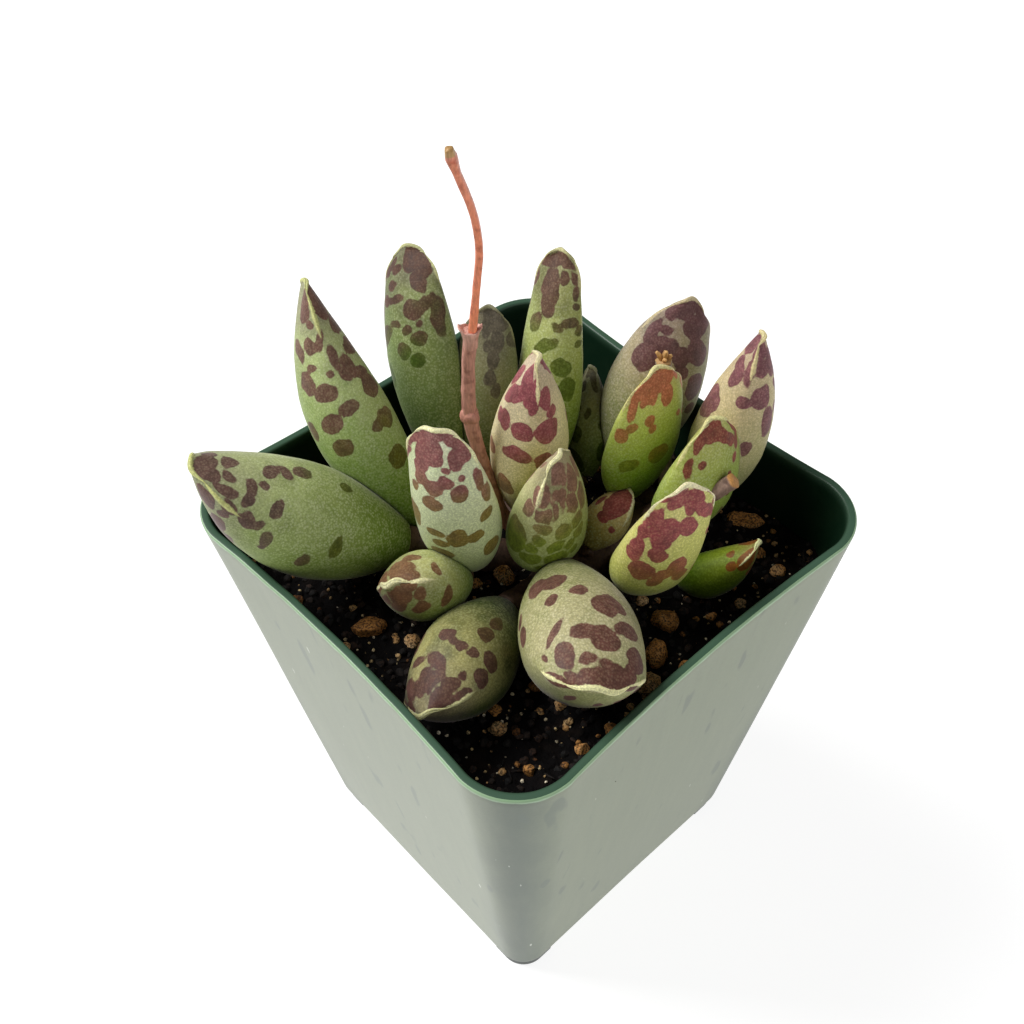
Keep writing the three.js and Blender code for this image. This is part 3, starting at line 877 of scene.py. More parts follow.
@dataclass(frozen=True)
class PotPlastic:
    """Injection-moulded polypropylene, satin: deep green inside, darkened with painted shade; outside a dust
    and lime haze with painted reflection that thins towards the corners.
    """

    # Deep green of the inside, darkened with painted shade.
    shaded_inside: str = "#0e2416"
    # Bare green where the haze and its painted reflection thin out, at the corners and in a faint film inside.
    bare_green: str = "#364a34"
    # Dust and lime haze, paled further with painted reflection of the bright surroundings.
    haze: str = "#788263"
    # Painted glow of light through the thin edge of the lip.
    lip: str = "#93b48c"
    # The lip's top, paler with painted light than the shaded wall below it.
    lip_top: str = "#3c5644"
    smear: str = "#3c5040"
    nick: str = "#d4d8cc"

    IOR = 1.49

    def inside(self) -> Material:
        """Build the plastic of the pot's inside: its deep green, darkened with painted shade.

        Returns:
            The material.
        """
        material, tree, place = blank_material("polypropylene_inside_painted_shade")
        film = node(tree, NOISE, inputs={"Vector": place, "Scale": 1 / (3 * MM), "Detail": 4.0})
        film = node(tree, RANGE, inputs={"Value": film, "From Min": 0.5, "From Max": 0.8, "To Max": 0.1})
        colour = node(tree, MIX, COLOURS, {0: film, 6: linear(self.shaded_inside), 7: linear(self.bare_green)})
        # The top of the lip is paler than the wall below it: painted light on the face that looks up.
        lip = node(tree, ATTRIBUTE, {"attribute_name": "lip"}, output="Fac")
        colour = coat(tree, colour, lip, 2.6, 1.2, self.lip_top)
        surface = {"Base Color": colour, "Roughness": 0.38, "IOR": self.IOR, "Specular IOR Level": 0.25}
        close_material(tree, surface)
        return material

    def outside(self) -> Material:
        """Build the pot's outside: a dust haze with painted reflection in it, and the lip's painted glow.

        Returns:
            The material, which reads the pot's corner and lip values.
        """
        material, tree, place = blank_material("polypropylene_haze_and_painted_reflection")
        corner, lip = [
            node(tree, ATTRIBUTE, {"attribute_name": value}, output="Fac") for value in ("corner", "lip")
        ]
        drawn = node(tree, MAPPING, inputs={"Vector": place, "Scale": (1.0, 1.0, 0.12)})
        rubbed = node(tree, MAPPING, inputs={"Vector": place, "Scale": (1.0, 1.0, 0.3)})
        clouds, streaks, specks, smears, nicks = [
            node(tree, NOISE, inputs={"Vector": where, "Scale": 1 / (size * MM), "Detail": detail})
            for where, size, detail in (
                (place, 14, 3.0), (drawn, 1.6, 3.0), (place, 0.4, 2.0), (rubbed, 2.6, 1.0), (rubbed, 1.1, 1.0)
            )
        ]
        # The flat sides are paled by dust haze and by painted reflection of the bright surroundings; towards
        # the corners both thin out to the bare green.
        bare_green = node(tree, MATH, MULTIPLY_ADD, {0: clouds, 1: 4.0, 2: corner})
        flat = node(
            tree,
            RANGE,
            SMOOTH,
            {"Value": bare_green, "From Min": 2.0, "From Max": 8.5, "To Min": 0.05, "To Max": 0.86},
        )
        ripple = node(
            tree,
            RANGE,
            inputs={"Value": streaks, "From Min": 0.3, "From Max": 0.7, "To Min": -0.06, "To Max": 0.06},
        )
        flat = node(tree, MATH, ADD, {0: flat, 1: ripple})
        colour = node(tree, MIX, COLOURS, {0: flat, 6: linear(self.bare_green), 7: linear(self.haze)})
        colour = mottle(tree, colour, specks, 0.3, 0.7, 0.95, 1.05)
        # Small rubbed smears and a few white nicks.
        colour = coat(tree, colour, smears, 0.66, 0.74, self.smear, 0.55)
        colour = coat(tree, colour, nicks, 0.785, 0.81, self.nick, 0.7)
        # The lip's outer edge carries a painted glow of light through the thin plastic, above a band that the
        # haze doesn't reach.
        uneven = node(tree, MATH, MULTIPLY_ADD, {0: streaks, 1: 0.9, 2: lip})
        colour = coat(tree, colour, uneven, 1.2, 0.85, self.lip, 0.85)
        relief = node(tree, MATH, MULTIPLY_ADD, {0: specks, 1: 0.4, 2: streaks})
        relief = node(tree, BUMP, inputs={"Strength": 0.12, "Distance": 0.1 * MM, "Height": relief})
        surface = {"Base Color": colour, "Roughness": 0.42, "IOR": self.IOR, "Normal": relief}
        close_material(tree, {**surface, "Sheen Weight": 0.18, "Sheen Roughness": 0.5})
        return material


@dataclass
class NurseryPot:
    """Square tapered nursery pot: round corners, slightly sunk sides, a plain lip and four corner feet."""

    width: float = 63.5
    height: float = 71.0
    base_width: float = 46.0
    wall: float = 1.2
    floor: float = 1.4
    rim_corner: float = 8.5
    base_corner: float = 4.2
    side_sink: float = 0.9
    foot_height: float = 1.8
    foot_from: float = 16.5
    foot_inset: float = 0.5
    foot_thickness: float = 2.2
    heel_height: float = 2.4
    heel_inset: float = 0.9
    drain: float = 6.0
    drain_spacing: float = 22.0
    lip_round: float = 0.35
    arc_steps: int = 22
    side_steps: int = 36
    heel_rings: int = 8
    wall_rings: int = 46
    lip_rings: int = 6
    inner_rings: int = 30
    least_corner: float = 0.6
    # How far the moulded walls swell, and how far the lip wavers.
    swell: float = 0.12
    waver: float = 0.05
    finish: PotPlastic = field(default_factory=PotPlastic)

    def outline(self, z: float) -> tuple[float, float, float]:
        """Half width, corner radius and side sink of the outside at a height.

        Args:
            z: height in millimetres.

        Returns:
            The three sizes in millimetres.
        """
        share = (z - self.foot_height) / (self.height - self.foot_height)
        half = (self.base_width + (self.width - self.base_width) * share) / 2
        corner = self.base_corner + (self.rim_corner - self.base_corner) * share
        return half, corner, self.side_sink * max(0.0, share) ** 2

    @staticmethod
    def quarter_turned(x: np.ndarray, y: np.ndarray, z: float, quarter: int) -> np.ndarray:
        """Turn points at one height round the middle of the pot.

        Args:
            x: places along X in millimetres.
            y: places along Y in millimetres.
            z: their height.
            quarter: how far, in quarter turns.

        Returns:
            The points in rows.
        """
        cos, sin = math.cos(quarter * math.pi / 2), math.sin(quarter * math.pi / 2)
        return np.stack([x * cos - y * sin, x * sin + y * cos, np.full(len(x), z)], axis=1)

    def ring(self, z: float, inset: float) -> np.ndarray:
        """Square ring with round corners at a height.

        Args:
            z: height in millimetres.
            inset: how far the ring lies inside the pot's outside.

        Returns:
            Points counter-clockwise seen from above.
        """
        half, corner, sink = self.outline(z)
        half -= inset
        corner = max(corner - inset, self.least_corner)
        straight = half - corner
        along = np.linspace(-1, 1, self.side_steps + 1)[1:-1]
        angle = np.linspace(0, math.pi / 2, self.arc_steps + 1)
        x = np.concatenate([half - sink * (1 - along**2), straight + corner * np.cos(angle)])
        y = np.concatenate([straight * along, straight + corner * np.sin(angle)])
        return np.vstack([self.quarter_turned(x, y, z, quarter) for quarter in range(4)])

    def profile(self) -> tuple[list[tuple[float, float]], int]:
        """Height and inset of each ring, from the bottom's edge up and over the lip to the inner floor.

        Returns:
            The pairs, and how many belong to the outside.
        """
        heel = np.linspace(0, self.heel_height, self.heel_rings)
        outside = [(self.foot_height + h, self.heel_inset * (1 - h / self.heel_height) ** 4) for h in heel]
        low, high = self.foot_height + self.heel_height, self.height - self.lip_round
        outside += [(z, 0.0) for z in np.linspace(low, high, self.wall_rings)[1:]]
        quarter = np.linspace(0, math.pi / 2, self.lip_rings)[1:]
        lift, reach = self.lip_round * np.sin(quarter), self.lip_round * np.cos(quarter)
        outside += list(zip(high + lift, self.lip_round - reach))
        inner = self.wall - self.lip_round
        outside.append((self.height, inner))
        inside = list(zip(high + reach, inner + lift))
        # The wall meets the inner floor in a small round.
        ground = self.foot_height + self.floor
        inside += [(z, self.wall) for z in np.linspace(high, ground + 1, self.inner_rings)[1:]]
        inside += [(ground + 0.3, self.wall + 0.3), (ground, self.wall + 1.0)]
        return outside + inside, len(outside)

    def shell(self) -> Skin:
        """Build the walls and the floor.

        Returns:
            The closed skin, with the values corner and lip, and finishes 0 outside and 1 inside.
        """
        pairs, outside = self.profile()
        rings = np.array([self.ring(z, inset) for z, inset in pairs])
        flat = rings.reshape(-1, 3)
        swell = self.swell * rough(flat * [1, 1, 0.6], 16.0, 3)
        waver = self.waver * rough(flat, 3.0, 4) * smooth_step(self.height - 1.2, self.height, flat[:, 2])
        directions = flat * [1, 1, 0]
        directions /= np.linalg.norm(directions, axis=1)[:, None]
        calm = smooth_step(self.height, self.height - 6, flat[:, 2])
        flat = flat + directions * (swell * calm - self.swell + waver - self.waver)[:, None]
        half = np.abs(flat[:, :2]).max(axis=1)
        corner = (half - np.abs(flat[:, :2]).min(axis=1)) * math.sqrt(0.5)
        shape = rings.shape[:2]
        edge = np.hypot(self.height - flat[:, 2], np.repeat([inset for _, inset in pairs], shape[1]) * 1.6)
        skin = loft(flat.reshape(rings.shape), {"corner": corner.reshape(shape), "lip": edge.reshape(shape)})
        # The lip's top and the inside take the inside finish with its painted shade. The faces that close the
        # two ends come in turns.
        sides = shape[1]
        hazed, shaded_inside = (outside - 3) * sides, (len(pairs) - outside + 2) * sides
        skin.finishes = [0] * hazed + [1] * shaded_inside + [0, 1] * sides
        return skin

    def foot(self, quarter: int) -> Skin:
        """Build one foot, a strip bent round a corner.

        Args:
            quarter: which corner, in quarter turns.

        Returns:
            The closed skin.
        """
        # The foot's lower edge is rounded, and its top ends inside the pot's floor.
        heights = [0.0, 0.12, 0.35, 1.0, self.foot_height + self.floor / 2]
        insets = [self.foot_inset + more for more in (0.3, 0.08, 0, 0, 0)]
        walls = [(z, inset) for z, inset in zip(heights, insets)]
        walls += [(z, self.foot_inset + self.foot_thickness) for z in reversed(heights)]
        loops = []
        for z, inset in walls:
            half, corner, _ = self.outline(z)
            half -= inset
            corner = max(corner - inset, self.least_corner)
            straight = half - corner
            angle = np.linspace(0, math.pi / 2, 14)
            run = np.linspace(self.foot_from, straight, 6)[:-1]
            x = np.concatenate([np.full(5, half), straight + corner * np.cos(angle), run[::-1]])
            y = np.concatenate([run, straight + corner * np.sin(angle), np.full(5, half)])
            loops.append(self.quarter_turned(x, y, z, quarter))
        rings = np.array(loops).transpose(1, 0, 2)
        skin = loft(rings[:, ::-1])
        skin.values = {"corner": np.zeros(len(skin.points)), "lip": np.full(len(skin.points), 9.0)}
        # The foot takes the inside finish, dark with its painted shade.
        return skin.paint(2)

    def build(self) -> None:
        """Build the pot with its feet and drain holes, dress it and seat it."""
        skin = join([self.shell()] + [self.foot(quarter) for quarter in range(4)])
        finishes = [self.finish.outside(), self.finish.inside(), self.finish.inside()]
        made = build_object("nursery_pot", skin, finishes, crease=50)
        cutter_mesh = bpy.data.meshes.new("drains")
        cutter = bmesh.new()
        for side_x, side_y in itertools.product((-0.5, 0.5), repeat=2):
            place = Matrix.Translation(
                (side_x * self.drain_spacing * MM, side_y * self.drain_spacing * MM, self.foot_height * MM)
            )
            radius = self.drain / 2 * MM
            bmesh.ops.create_cone(
                cutter, cap_ends=True, segments=40, radius1=radius, radius2=radius, depth=8 * MM, matrix=place
            )
        cutter.to_mesh(cutter_mesh)
        cutter.free()
        drains = bpy.data.objects.new("drains", cutter_mesh)
        bpy.context.scene.collection.objects.link(drains)
        cut = made.modifiers.new("drains", "BOOLEAN")
        cut.operation = "DIFFERENCE"
        cut.solver = "EXACT"
        cut.object = drains
        bake_modifiers(made)
        bpy.data.objects.remove(drains)
        settle(made, Slot.POT, "pot")


# Soil.


@dataclass(frozen=True)
class PottingMixFinish:
    """Peat and bark potting mix, damp: nearly black, with brown fibres and a matt crumbly surface."""

    dark: str = "#040202"
    brown: str = "#120a06"
    tan: str = "#8a6a42"

    def material(self) -> Material:
        """Build the mix's material.

        Returns:
            The material.
        """
        material, tree, place = blank_material("peat_potting_mix")
        lumps, crumbs, flecks = [
            node(tree, NOISE, inputs={"Vector": place, "Scale": 1 / (size * MM), "Detail": 4.0})
            for size in (2.4, 0.7, 0.3)
        ]
        brown = node(tree, RANGE, SMOOTH, {"Value": lumps, "From Min": 0.48, "From Max": 0.75})
        colour = node(tree, MIX, COLOURS, {0: brown, 6: linear(self.dark), 7: linear(self.brown)})
        colour = coat(tree, colour, flecks, 0.7, 0.76, self.tan, 0.6)
        relief = node(tree, MATH, MULTIPLY_ADD, {0: flecks, 1: 0.5, 2: crumbs})
        relief = node(tree, BUMP, inputs={"Strength": 0.8, "Distance": 0.3 * MM, "Height": relief})
        close_material(
            tree, {"Base Color": colour, "Roughness": 0.85, "Normal": relief, "Specular IOR Level": 0.12}
        )
        return material


@dataclass(frozen=True)
class GrainFinish:
    """Mineral and bark grains of the mix: porous, matt, from near black over ochre to cream."""

    name: str
    dark: str
    middle: str
    light: str
    pore: float = 0.35

    def material(self) -> Material:
        """Build the grains' material.

        Returns:
            The material, which reads each grain's tone value.
        """
        material, tree, place = blank_material(self.name)
        tone = node(tree, ATTRIBUTE, {"attribute_name": "tone"}, output="Fac")
        patches, pores = [
            node(tree, NOISE, inputs={"Vector": place, "Scale": 1 / (size * MM), "Detail": 3.0})
            for size in (1.2, self.pore)
        ]
        shift = node(
            tree,
            RANGE,
            inputs={"Value": patches, "From Min": 0.3, "From Max": 0.7, "To Min": -0.16, "To Max": 0.16},
        )
        tone = node(tree, MATH, ADD, {0: tone, 1: shift})
        low = node(tree, RANGE, inputs={"Value": tone, "From Max": 0.5})
        high = node(tree, RANGE, inputs={"Value": tone, "From Min": 0.5})
        colour = node(tree, MIX, COLOURS, {0: low, 6: linear(self.dark), 7: linear(self.middle)})
        colour = node(tree, MIX, COLOURS, {0: high, 6: colour, 7: linear(self.light)})
        # The pores, where the bump sinks, are darkened with painted shade.
        pore_shade = node(
            tree,
            RANGE,
            SMOOTH,
            {"Value": pores, "From Min": 0.4, "From Max": 0.56, "To Min": 0.22, "To Max": 1.1},
        )
        colour = node(tree, VECTOR_MATH, SCALE, {0: colour, "Scale": pore_shade})
        relief = node(tree, BUMP, inputs={"Strength": 0.7, "Distance": 0.2 * MM, "Height": pores})
        surface = {"Base Color": colour, "Roughness": 0.8, "Normal": relief, "Specular IOR Level": 0.3}
        close_material(tree, surface)
        return material


@dataclass(frozen=True)
class Scatter:
    """One kind of small grain strewn over the soil: how many to the square centimetre, and how large."""

    name: str
    density: float
    smallest: float
    largest: float
    proportions: tuple[float, float, float]
    uneven: float
    sunk: float
    seed: int
    finish: GrainFinish


@dataclass
class PottingMix:
    """The soil that fills the pot, with pumice and clay grains, crumbs, flecks and fibres on it."""

    pot: NurseryPot
    below_rim: float = 10.0
    mound: float = 1.4
    lump: float = 0.32
    gap: float = 0.3
    cells: int = 200
    # Spacing, height and seed of the crumbs that make the soil's top.
    crumbs: tuple = ((2.6, 0.34, 21), (1.1, 0.26, 22), (0.55, 0.2, 23))
    # Heights of the rings below the top.
    lower_rings: tuple = (50.0, 30.0)
    # Where the top starts to fall to its border, how far it falls, and how far crumbs lean over.
    border_from: float = 0.965
    border_fall: float = 0.4
    lean: float = 0.12

    # Grains that stand out: middle x and y, length, width, the turn of the length, and the tone.
    LARGE_GRAINS = [
        (19.9, 5.1, 3.8, 3.4, 40, 0.47), (22.6, 0.6, 4.4, 2.8, 130, 0.47), (25.0, -3.4, 3.6, 3.4, 0, 0.72),
        (26.4, 1.6, 2.2, 1.8, 80, 0.5), (15.5, 25.0, 6.2, 2.6, 45, 0.47), (20.4, 22.6, 2.2, 1.9, 20, 0.5),
        (24.5, 21.5, 2.2, 2.0, 60, 0.62), (1.2, -5.0, 3.2, 2.8, 15, 0.62), (-0.2, -8.6, 1.8, 1.6, 70, 0.6),
        (15.2, -19.4, 1.9, 1.7, 0, 0.47), (17.2, -20.6, 2.2, 1.9, 50, 0.72),
        (15.7, -13.2, 1.8, 1.6, 30, 0.47), (19.6, -12.8, 2.4, 1.6, 100, 0.72),
        (26.2, -11.0, 1.9, 1.7, 0, 0.47), (25.6, -15.2, 1.9, 1.7, 45, 0.47), (23.5, -21.5, 1.7, 1.5, 10, 0.4),
        (-4.6, -22.6, 4.6, 2.8, 60, 0.34), (-5.0, -26.2, 1.7, 1.6, 0, 0.72), (0.8, -20.0, 2.2, 2.0, 30, 0.72),
        (-15.2, -26.4, 2.2, 1.8, 80, 0.12), (15.8, 5.2, 1.9, 1.7, 0, 0.72), (-7.6, 20.0, 2.6, 1.8, 120, 0.72),
        (24.4, 14.4, 1.8, 1.6, 20, 0.72), (23.4, 9.8, 1.6, 1.4, 60, 0.6),
    ]
    # Chips of a grain: how many, how far out each cuts and how much it takes.
    CHIPS = 9
    CHIP_AT = (0.66, 0.9)
    CHIP_CUT = 0.9
    # From this width on a grain has a finer skin. Its height and its seat are shares of its width.
    WIDE = 2.4
    FLATNESS = 0.46
    SEATED = 0.12
    # Share, spacing and seed of a grain's pits, and their depth: at most, and as a share of its width.
    PITS = ((0.5, 0.9, 31), (0.35, 0.45, 32))
    PIT_DEPTH = (0.3, 0.1)
    GRAIN_SEED = 12

    @property
    def top(self) -> float:
        """Height of the soil at its edge."""
        return self.pot.height - self.below_rim

    @property
    def half(self) -> float:
        """Half width of the soil at its top."""
        return self.pot.outline(self.top)[0] - self.pot.wall - self.gap

    def height(self, x: np.ndarray, y: np.ndarray) -> np.ndarray:
        """Height of the soil at points: a low mound with soft lumps.

        Args:
            x: places along X in millimetres.
            y: places along Y in millimetres.

        Returns:
            The heights in millimetres.
        """
        share = np.minimum(1, np.hypot(x, y) / self.half)
        folds = np.sin(0.55 * x + 1.3 * np.sin(0.4 * y))
        hollows = np.cos(0.63 * y - 0.9 * np.sin(0.5 * x))
        return self.top + self.mound * (1 - share**2) + self.lump * (folds + hollows)

    def block(self) -> Skin:
        """Build the block of soil with its crumbly top.

        Returns:
            The closed skin.
        """
        edge = self.pot.ring(self.top, self.pot.wall + self.gap)
        bearing = np.arctan2(edge[:, 1], edge[:, 0])
        order = np.argsort(bearing)
        bearing, reach = bearing[order], np.hypot(edge[:, 0], edge[:, 1])[order]
        bearing = np.concatenate([bearing[-1:] - 2 * math.pi, bearing, bearing[:1] + 2 * math.pi])
        reach = np.concatenate([reach[-1:], reach, reach[:1]])
        line = np.linspace(-1, 1, self.cells + 1)
        u, v = np.meshgrid(line, line, indexing="ij")
        share = np.maximum(np.abs(u), np.abs(v))
        angle = np.arctan2(v, u)
        radius = share * np.interp(angle, bearing, reach)
        x, y = (radius * np.cos(angle)).ravel(), (radius * np.sin(angle)).ravel()
        flat = np.stack([x, y, np.full(len(x), self.top)], axis=1)
        fall = smooth_step(1.0, self.border_from, share.ravel())
        z = self.height(x, y) - self.border_fall * (1 - fall)
        for size, reach_up, seed in self.crumbs:
            z += reach_up * rough(flat, size, seed) * fall
            flat[:, :2] += self.lean * size * fall[:, None] * np.stack(
                [rough(flat, size, seed + 10), rough(flat, size, seed + 20)], axis=1
            )
        points = np.stack([flat[:, 0], flat[:, 1], z], axis=1)
        side = self.cells + 1
        number = np.arange(side * side).reshape(side, side)
        quads = np.stack([number[:-1, :-1], number[1:, :-1], number[1:, 1:], number[:-1, 1:]], axis=-1)
        faces = [tuple(quad) for quad in quads.reshape(-1, 4).tolist()]
        border = np.concatenate([number[:-1, 0], number[-1, :-1], number[:0:-1, -1], number[0, :0:-1]])
        count = len(border)
        foot = [points]
        before = border
        bottom = self.pot.foot_height + self.pot.floor + self.gap
        for level, z_low in enumerate((*self.lower_rings, bottom)):
            half_here = self.pot.outline(z_low)[0] - self.pot.wall - self.gap
            lower = points[border] * [half_here / self.half, half_here / self.half, 0] + [0, 0, z_low]
            after = len(points) + level * count + np.arange(count)
            for i in range(count):
                k = (i + 1) % count
                faces.append((int(before[i]), int(after[i]), int(after[k]), int(before[k])))
            before = after
            foot.append(lower)
        hub = len(points) + (len(self.lower_rings) + 1) * count
        for i in range(count):
            faces.append((hub, int(before[(i + 1) % count]), int(before[i])))
        foot.append(np.array([[0, 0, bottom]]))
        return Skin(np.vstack(foot), faces)

    def pebble(self, grain: tuple[float, ...], rng: np.random.Generator) -> Skin:
        """Build one chipped, pitted grain.

        Args:
            grain: a row of LARGE_GRAINS.
            rng: random numbers for its chips.

        Returns:
            The grain's skin, with its tone as a value.
        """
        x, y, long, wide, turn, tone = grain
        ball = bmesh.new()
        bmesh.ops.create_icosphere(ball, subdivisions=5 if wide > self.WIDE else 4, radius=1)
        points = np.array([vertex.co[:] for vertex in ball.verts])
        faces = [tuple(vertex.index for vertex in face.verts) for face in ball.faces]
        ball.free()
        chips = rng.normal(size=(self.CHIPS, 3))
        chips /= np.linalg.norm(chips, axis=1)[:, None]
        for chip in chips:
            over = np.maximum(0, points @ chip - rng.uniform(*self.CHIP_AT))
            points = points - over[:, None] * chip * self.CHIP_CUT
        points = points * [long / 2, wide / 2, wide * self.FLATNESS]
        seat = np.array([x, y, 0.0])
        (much, broad, first), (less, fine, second) = self.PITS
        pits = much * rough(points + seat, broad, first) + less * rough(points + seat, fine, second)
        outward = points / np.linalg.norm(points, axis=1)[:, None]
        deepest, share = self.PIT_DEPTH
        points = points + outward * (pits * min(deepest, share * wide))[:, None]
        cos, sin = math.cos(math.radians(turn)), math.sin(math.radians(turn))
        points = points @ np.array([[cos, sin, 0], [-sin, cos, 0], [0, 0, 1]])
        seat[2] = float(self.height(np.array(x), np.array(y))) + wide * self.SEATED
        return Skin(points + seat, faces, {"tone": np.full(len(points), tone)}).paint(0)

    def scatter_tree(self) -> bpy.types.GeometryNodeTree:
        """Build the tree that strews small uneven grains over a surface.

        Returns:
            The tree, with named inputs for density, sizes, proportions, unevenness, sinking and seed.
        """
        tree = bpy.data.node_groups.new("strewn_grains", "GeometryNodeTree")
        tree.interface.new_socket(name="Geometry", in_out="OUTPUT", socket_type="NodeSocketGeometry")
        tree.interface.new_socket(name="Ground", in_out="INPUT", socket_type="NodeSocketGeometry")
        for name in ("Density", "Smallest", "Largest", "Uneven", "Sunk"):
            tree.interface.new_socket(name=name, in_out="INPUT", socket_type="NodeSocketFloat")
        tree.interface.new_socket(name="Proportions", in_out="INPUT", socket_type="NodeSocketVector")
        tree.interface.new_socket(name="Seed", in_out="INPUT", socket_type="NodeSocketInt")
        tree.interface.new_socket(name="Finish", in_out="INPUT", socket_type="NodeSocketMaterial")
        given = tree.nodes.new("NodeGroupInput").outputs
        normal = node(tree, "GeometryNodeInputNormal")
        facing = node(tree, "ShaderNodeSeparateXYZ", inputs={0: normal}, output="Z")
        upward = node(tree, "FunctionNodeCompare", {"operation": "GREATER_THAN"}, {0: facing, 1: 0.2})
        strewn = node(
            tree,
            "GeometryNodeDistributePointsOnFaces",
            inputs={
                "Mesh": given["Ground"],
                "Selection": upward,
                "Density": given["Density"],
                "Seed": given["Seed"],
            },
            output="Points",
        )
        round_grain = {"Radius": 0.5, "Subdivisions": 2}
        ball = node(tree, "GeometryNodeMeshIcoSphere", inputs=round_grain, output="Mesh")
        size = node(
            tree,
            "FunctionNodeRandomValue",
            {"data_type": "FLOAT"},
            {2: given["Smallest"], 3: given["Largest"], "Seed": given["Seed"]},
        )
        stretch = node(tree, VECTOR_MATH, SCALE, {0: given["Proportions"], "Scale": size})
        spin = node(
            tree,
            "FunctionNodeRandomValue",
            {"data_type": "FLOAT_VECTOR"},
            {0: (-0.5, -0.5, 0.0), 1: (0.5, 0.5, 2 * math.pi), "Seed": given["Seed"]},
        )
        placed = node(
            tree,
            "GeometryNodeInstanceOnPoints",
            inputs={"Points": strewn, "Instance": ball, "Rotation": spin, "Scale": stretch},
        )
        tone = node(tree, "FunctionNodeRandomValue", {"data_type": "FLOAT"}, {2: 0.0, 3: 1.0, "Seed": 77})
        placed = node(
            tree,
            "GeometryNodeStoreNamedAttribute",
            {"data_type": "FLOAT", "domain": "INSTANCE"},
            {"Geometry": placed, "Name": "tone", "Value": tone},
        )
        sink = node(tree, MATH, MULTIPLY, {0: given["Sunk"], 1: -1.0})
        drop = node(tree, "ShaderNodeCombineXYZ", inputs={"Z": sink})
        sunk = {"Instances": placed, "Translation": drop, "Local Space": False}
        placed = node(tree, "GeometryNodeTranslateInstances", inputs=sunk)
        real = node(tree, "GeometryNodeRealizeInstances", inputs={0: placed})
        lumps = node(tree, NOISE, inputs={"Scale": 1 / (0.6 * MM), "Detail": 1.0}, output="Color")
        centred = node(tree, VECTOR_MATH, SUBTRACT, {0: lumps, 1: (0.5, 0.5, 0.5)})
        shove = node(tree, VECTOR_MATH, SCALE, {0: centred, "Scale": given["Uneven"]})
        real = node(tree, "GeometryNodeSetPosition", inputs={"Geometry": real, "Offset": shove})
        real = node(tree, "GeometryNodeSetMaterial", inputs={"Geometry": real, "Material": given["Finish"]})
        node(tree, "NodeGroupOutput", inputs={"Geometry": real})
        return tree

    def strew(self, ground: bpy.types.Object, tree: bpy.types.GeometryNodeTree, scatter: Scatter) -> None:
        """Strew one kind of grain over the soil and seat it.

        Args:
            ground: the soil's finished object.
            tree: the scatter tree.
            scatter: what to strew.
        """
        made = bpy.data.objects.new(scatter.name, ground.data.copy())
        bpy.context.scene.collection.objects.link(made)
        modifier = made.modifiers.new("strewn", "NODES")
        modifier.node_group = tree
        given = {
            "Density": scatter.density / CENTIMETRE**2,
            "Smallest": scatter.smallest * MM,
            "Largest": scatter.largest * MM,
            "Uneven": scatter.uneven * MM,
            "Sunk": scatter.sunk * MM,
            "Proportions": scatter.proportions,
            "Seed": scatter.seed,
            "Finish": scatter.finish.material(),
        }
        for item in tree.interface.items_tree:
            if item.in_out == "INPUT" and item.name in given:
                modifier[item.identifier] = given[item.name]
        bake_modifiers(made)
        settle(made, Slot.SOIL)

    def build(self) -> None:
        """Build the soil and everything strewn on it."""
        rng = np.random.default_rng(self.GRAIN_SEED)
        soil = build_object("potting_mix", self.block(), [PottingMixFinish().material()])
        settle(soil, Slot.SOIL, "soil")
        mineral = GrainFinish("pumice_and_clay", "#55331a", "#b27c40", "#d9bd90", 0.24)
        grains = join([self.pebble(grain, rng) for grain in self.LARGE_GRAINS])
        settle(build_object("large_grains", grains, [mineral.material()]), Slot.SOIL)
        bark = GrainFinish("bark_crumbs", "#060403", "#120a05", "#2e1d12")
        speck = GrainFinish("perlite_flecks", "#8a6c46", "#c0a878", "#e6dcc4")
        clay = GrainFinish("clay_crumbs", "#4a2a12", "#9a6a34", "#c8a878")
        tree = self.scatter_tree()
        for scatter in (
            Scatter("bark_crumbs", 42, 0.5, 1.5, (1.0, 0.8, 0.6), 0.5, 0.05, 3, bark),
            Scatter("clay_crumbs", 6, 0.4, 1.2, (1.0, 0.85, 0.7), 0.35, 0.0, 5, clay),
            Scatter("perlite_flecks", 17, 0.2, 0.55, (1.0, 0.9, 0.8), 0.15, -0.05, 8, speck),
            Scatter("bark_fibres", 3.5, 1.4, 3.6, (1.0, 0.1, 0.08), 0.35, -0.1, 9, bark),
        ):
            self.strew(soil, tree, scatter)


# Woody pieces.


@dataclass(frozen=True)
class WoodFinish:
    """Dry plant tissue: fibrous and matt, drawn out along the stem, with darker scars."""

    name: str
    low: str
    high: str
    scar: str
    tip: str
    fibre: float = 0.25
    roughness: float = 0.62
    tip_from: float = 0.96

    def material(self) -> Material:
        """Build the tissue's material.

        Returns:
            The material, which reads the along value.
        """
        material, tree, place = blank_material(self.name)
        along = node(tree, ATTRIBUTE, {"attribute_name": "along"}, output="Fac")
        drawn = node(tree, MAPPING, inputs={"Vector": place, "Scale": (1.0, 1.0, 0.18)})
        fibres, patches = [
            node(tree, NOISE, inputs={"Vector": where, "Scale": 1 / (size * MM), "Detail": 3.0})
            for where, size in ((drawn, self.fibre), (place, 1.3))
        ]
        colour = node(tree, MIX, COLOURS, {0: along, 6: linear(self.low), 7: linear(self.high)})
        colour = coat(tree, colour, patches, 0.5, 0.68, self.scar, 0.75)
        colour = coat(tree, colour, along, self.tip_from, self.tip_from + 0.03, self.tip)
        colour = mottle(tree, colour, fibres, 0.3, 0.7, 0.78, 1.22)
        relief = node(tree, BUMP, inputs={"Strength": 0.6, "Distance": 0.15 * MM, "Height": fibres})
        surface = {"Base Color": colour, "Roughness": self.roughness, "Specular IOR Level": 0.4}
        close_material(tree, {**surface, "Normal": relief})
        return material


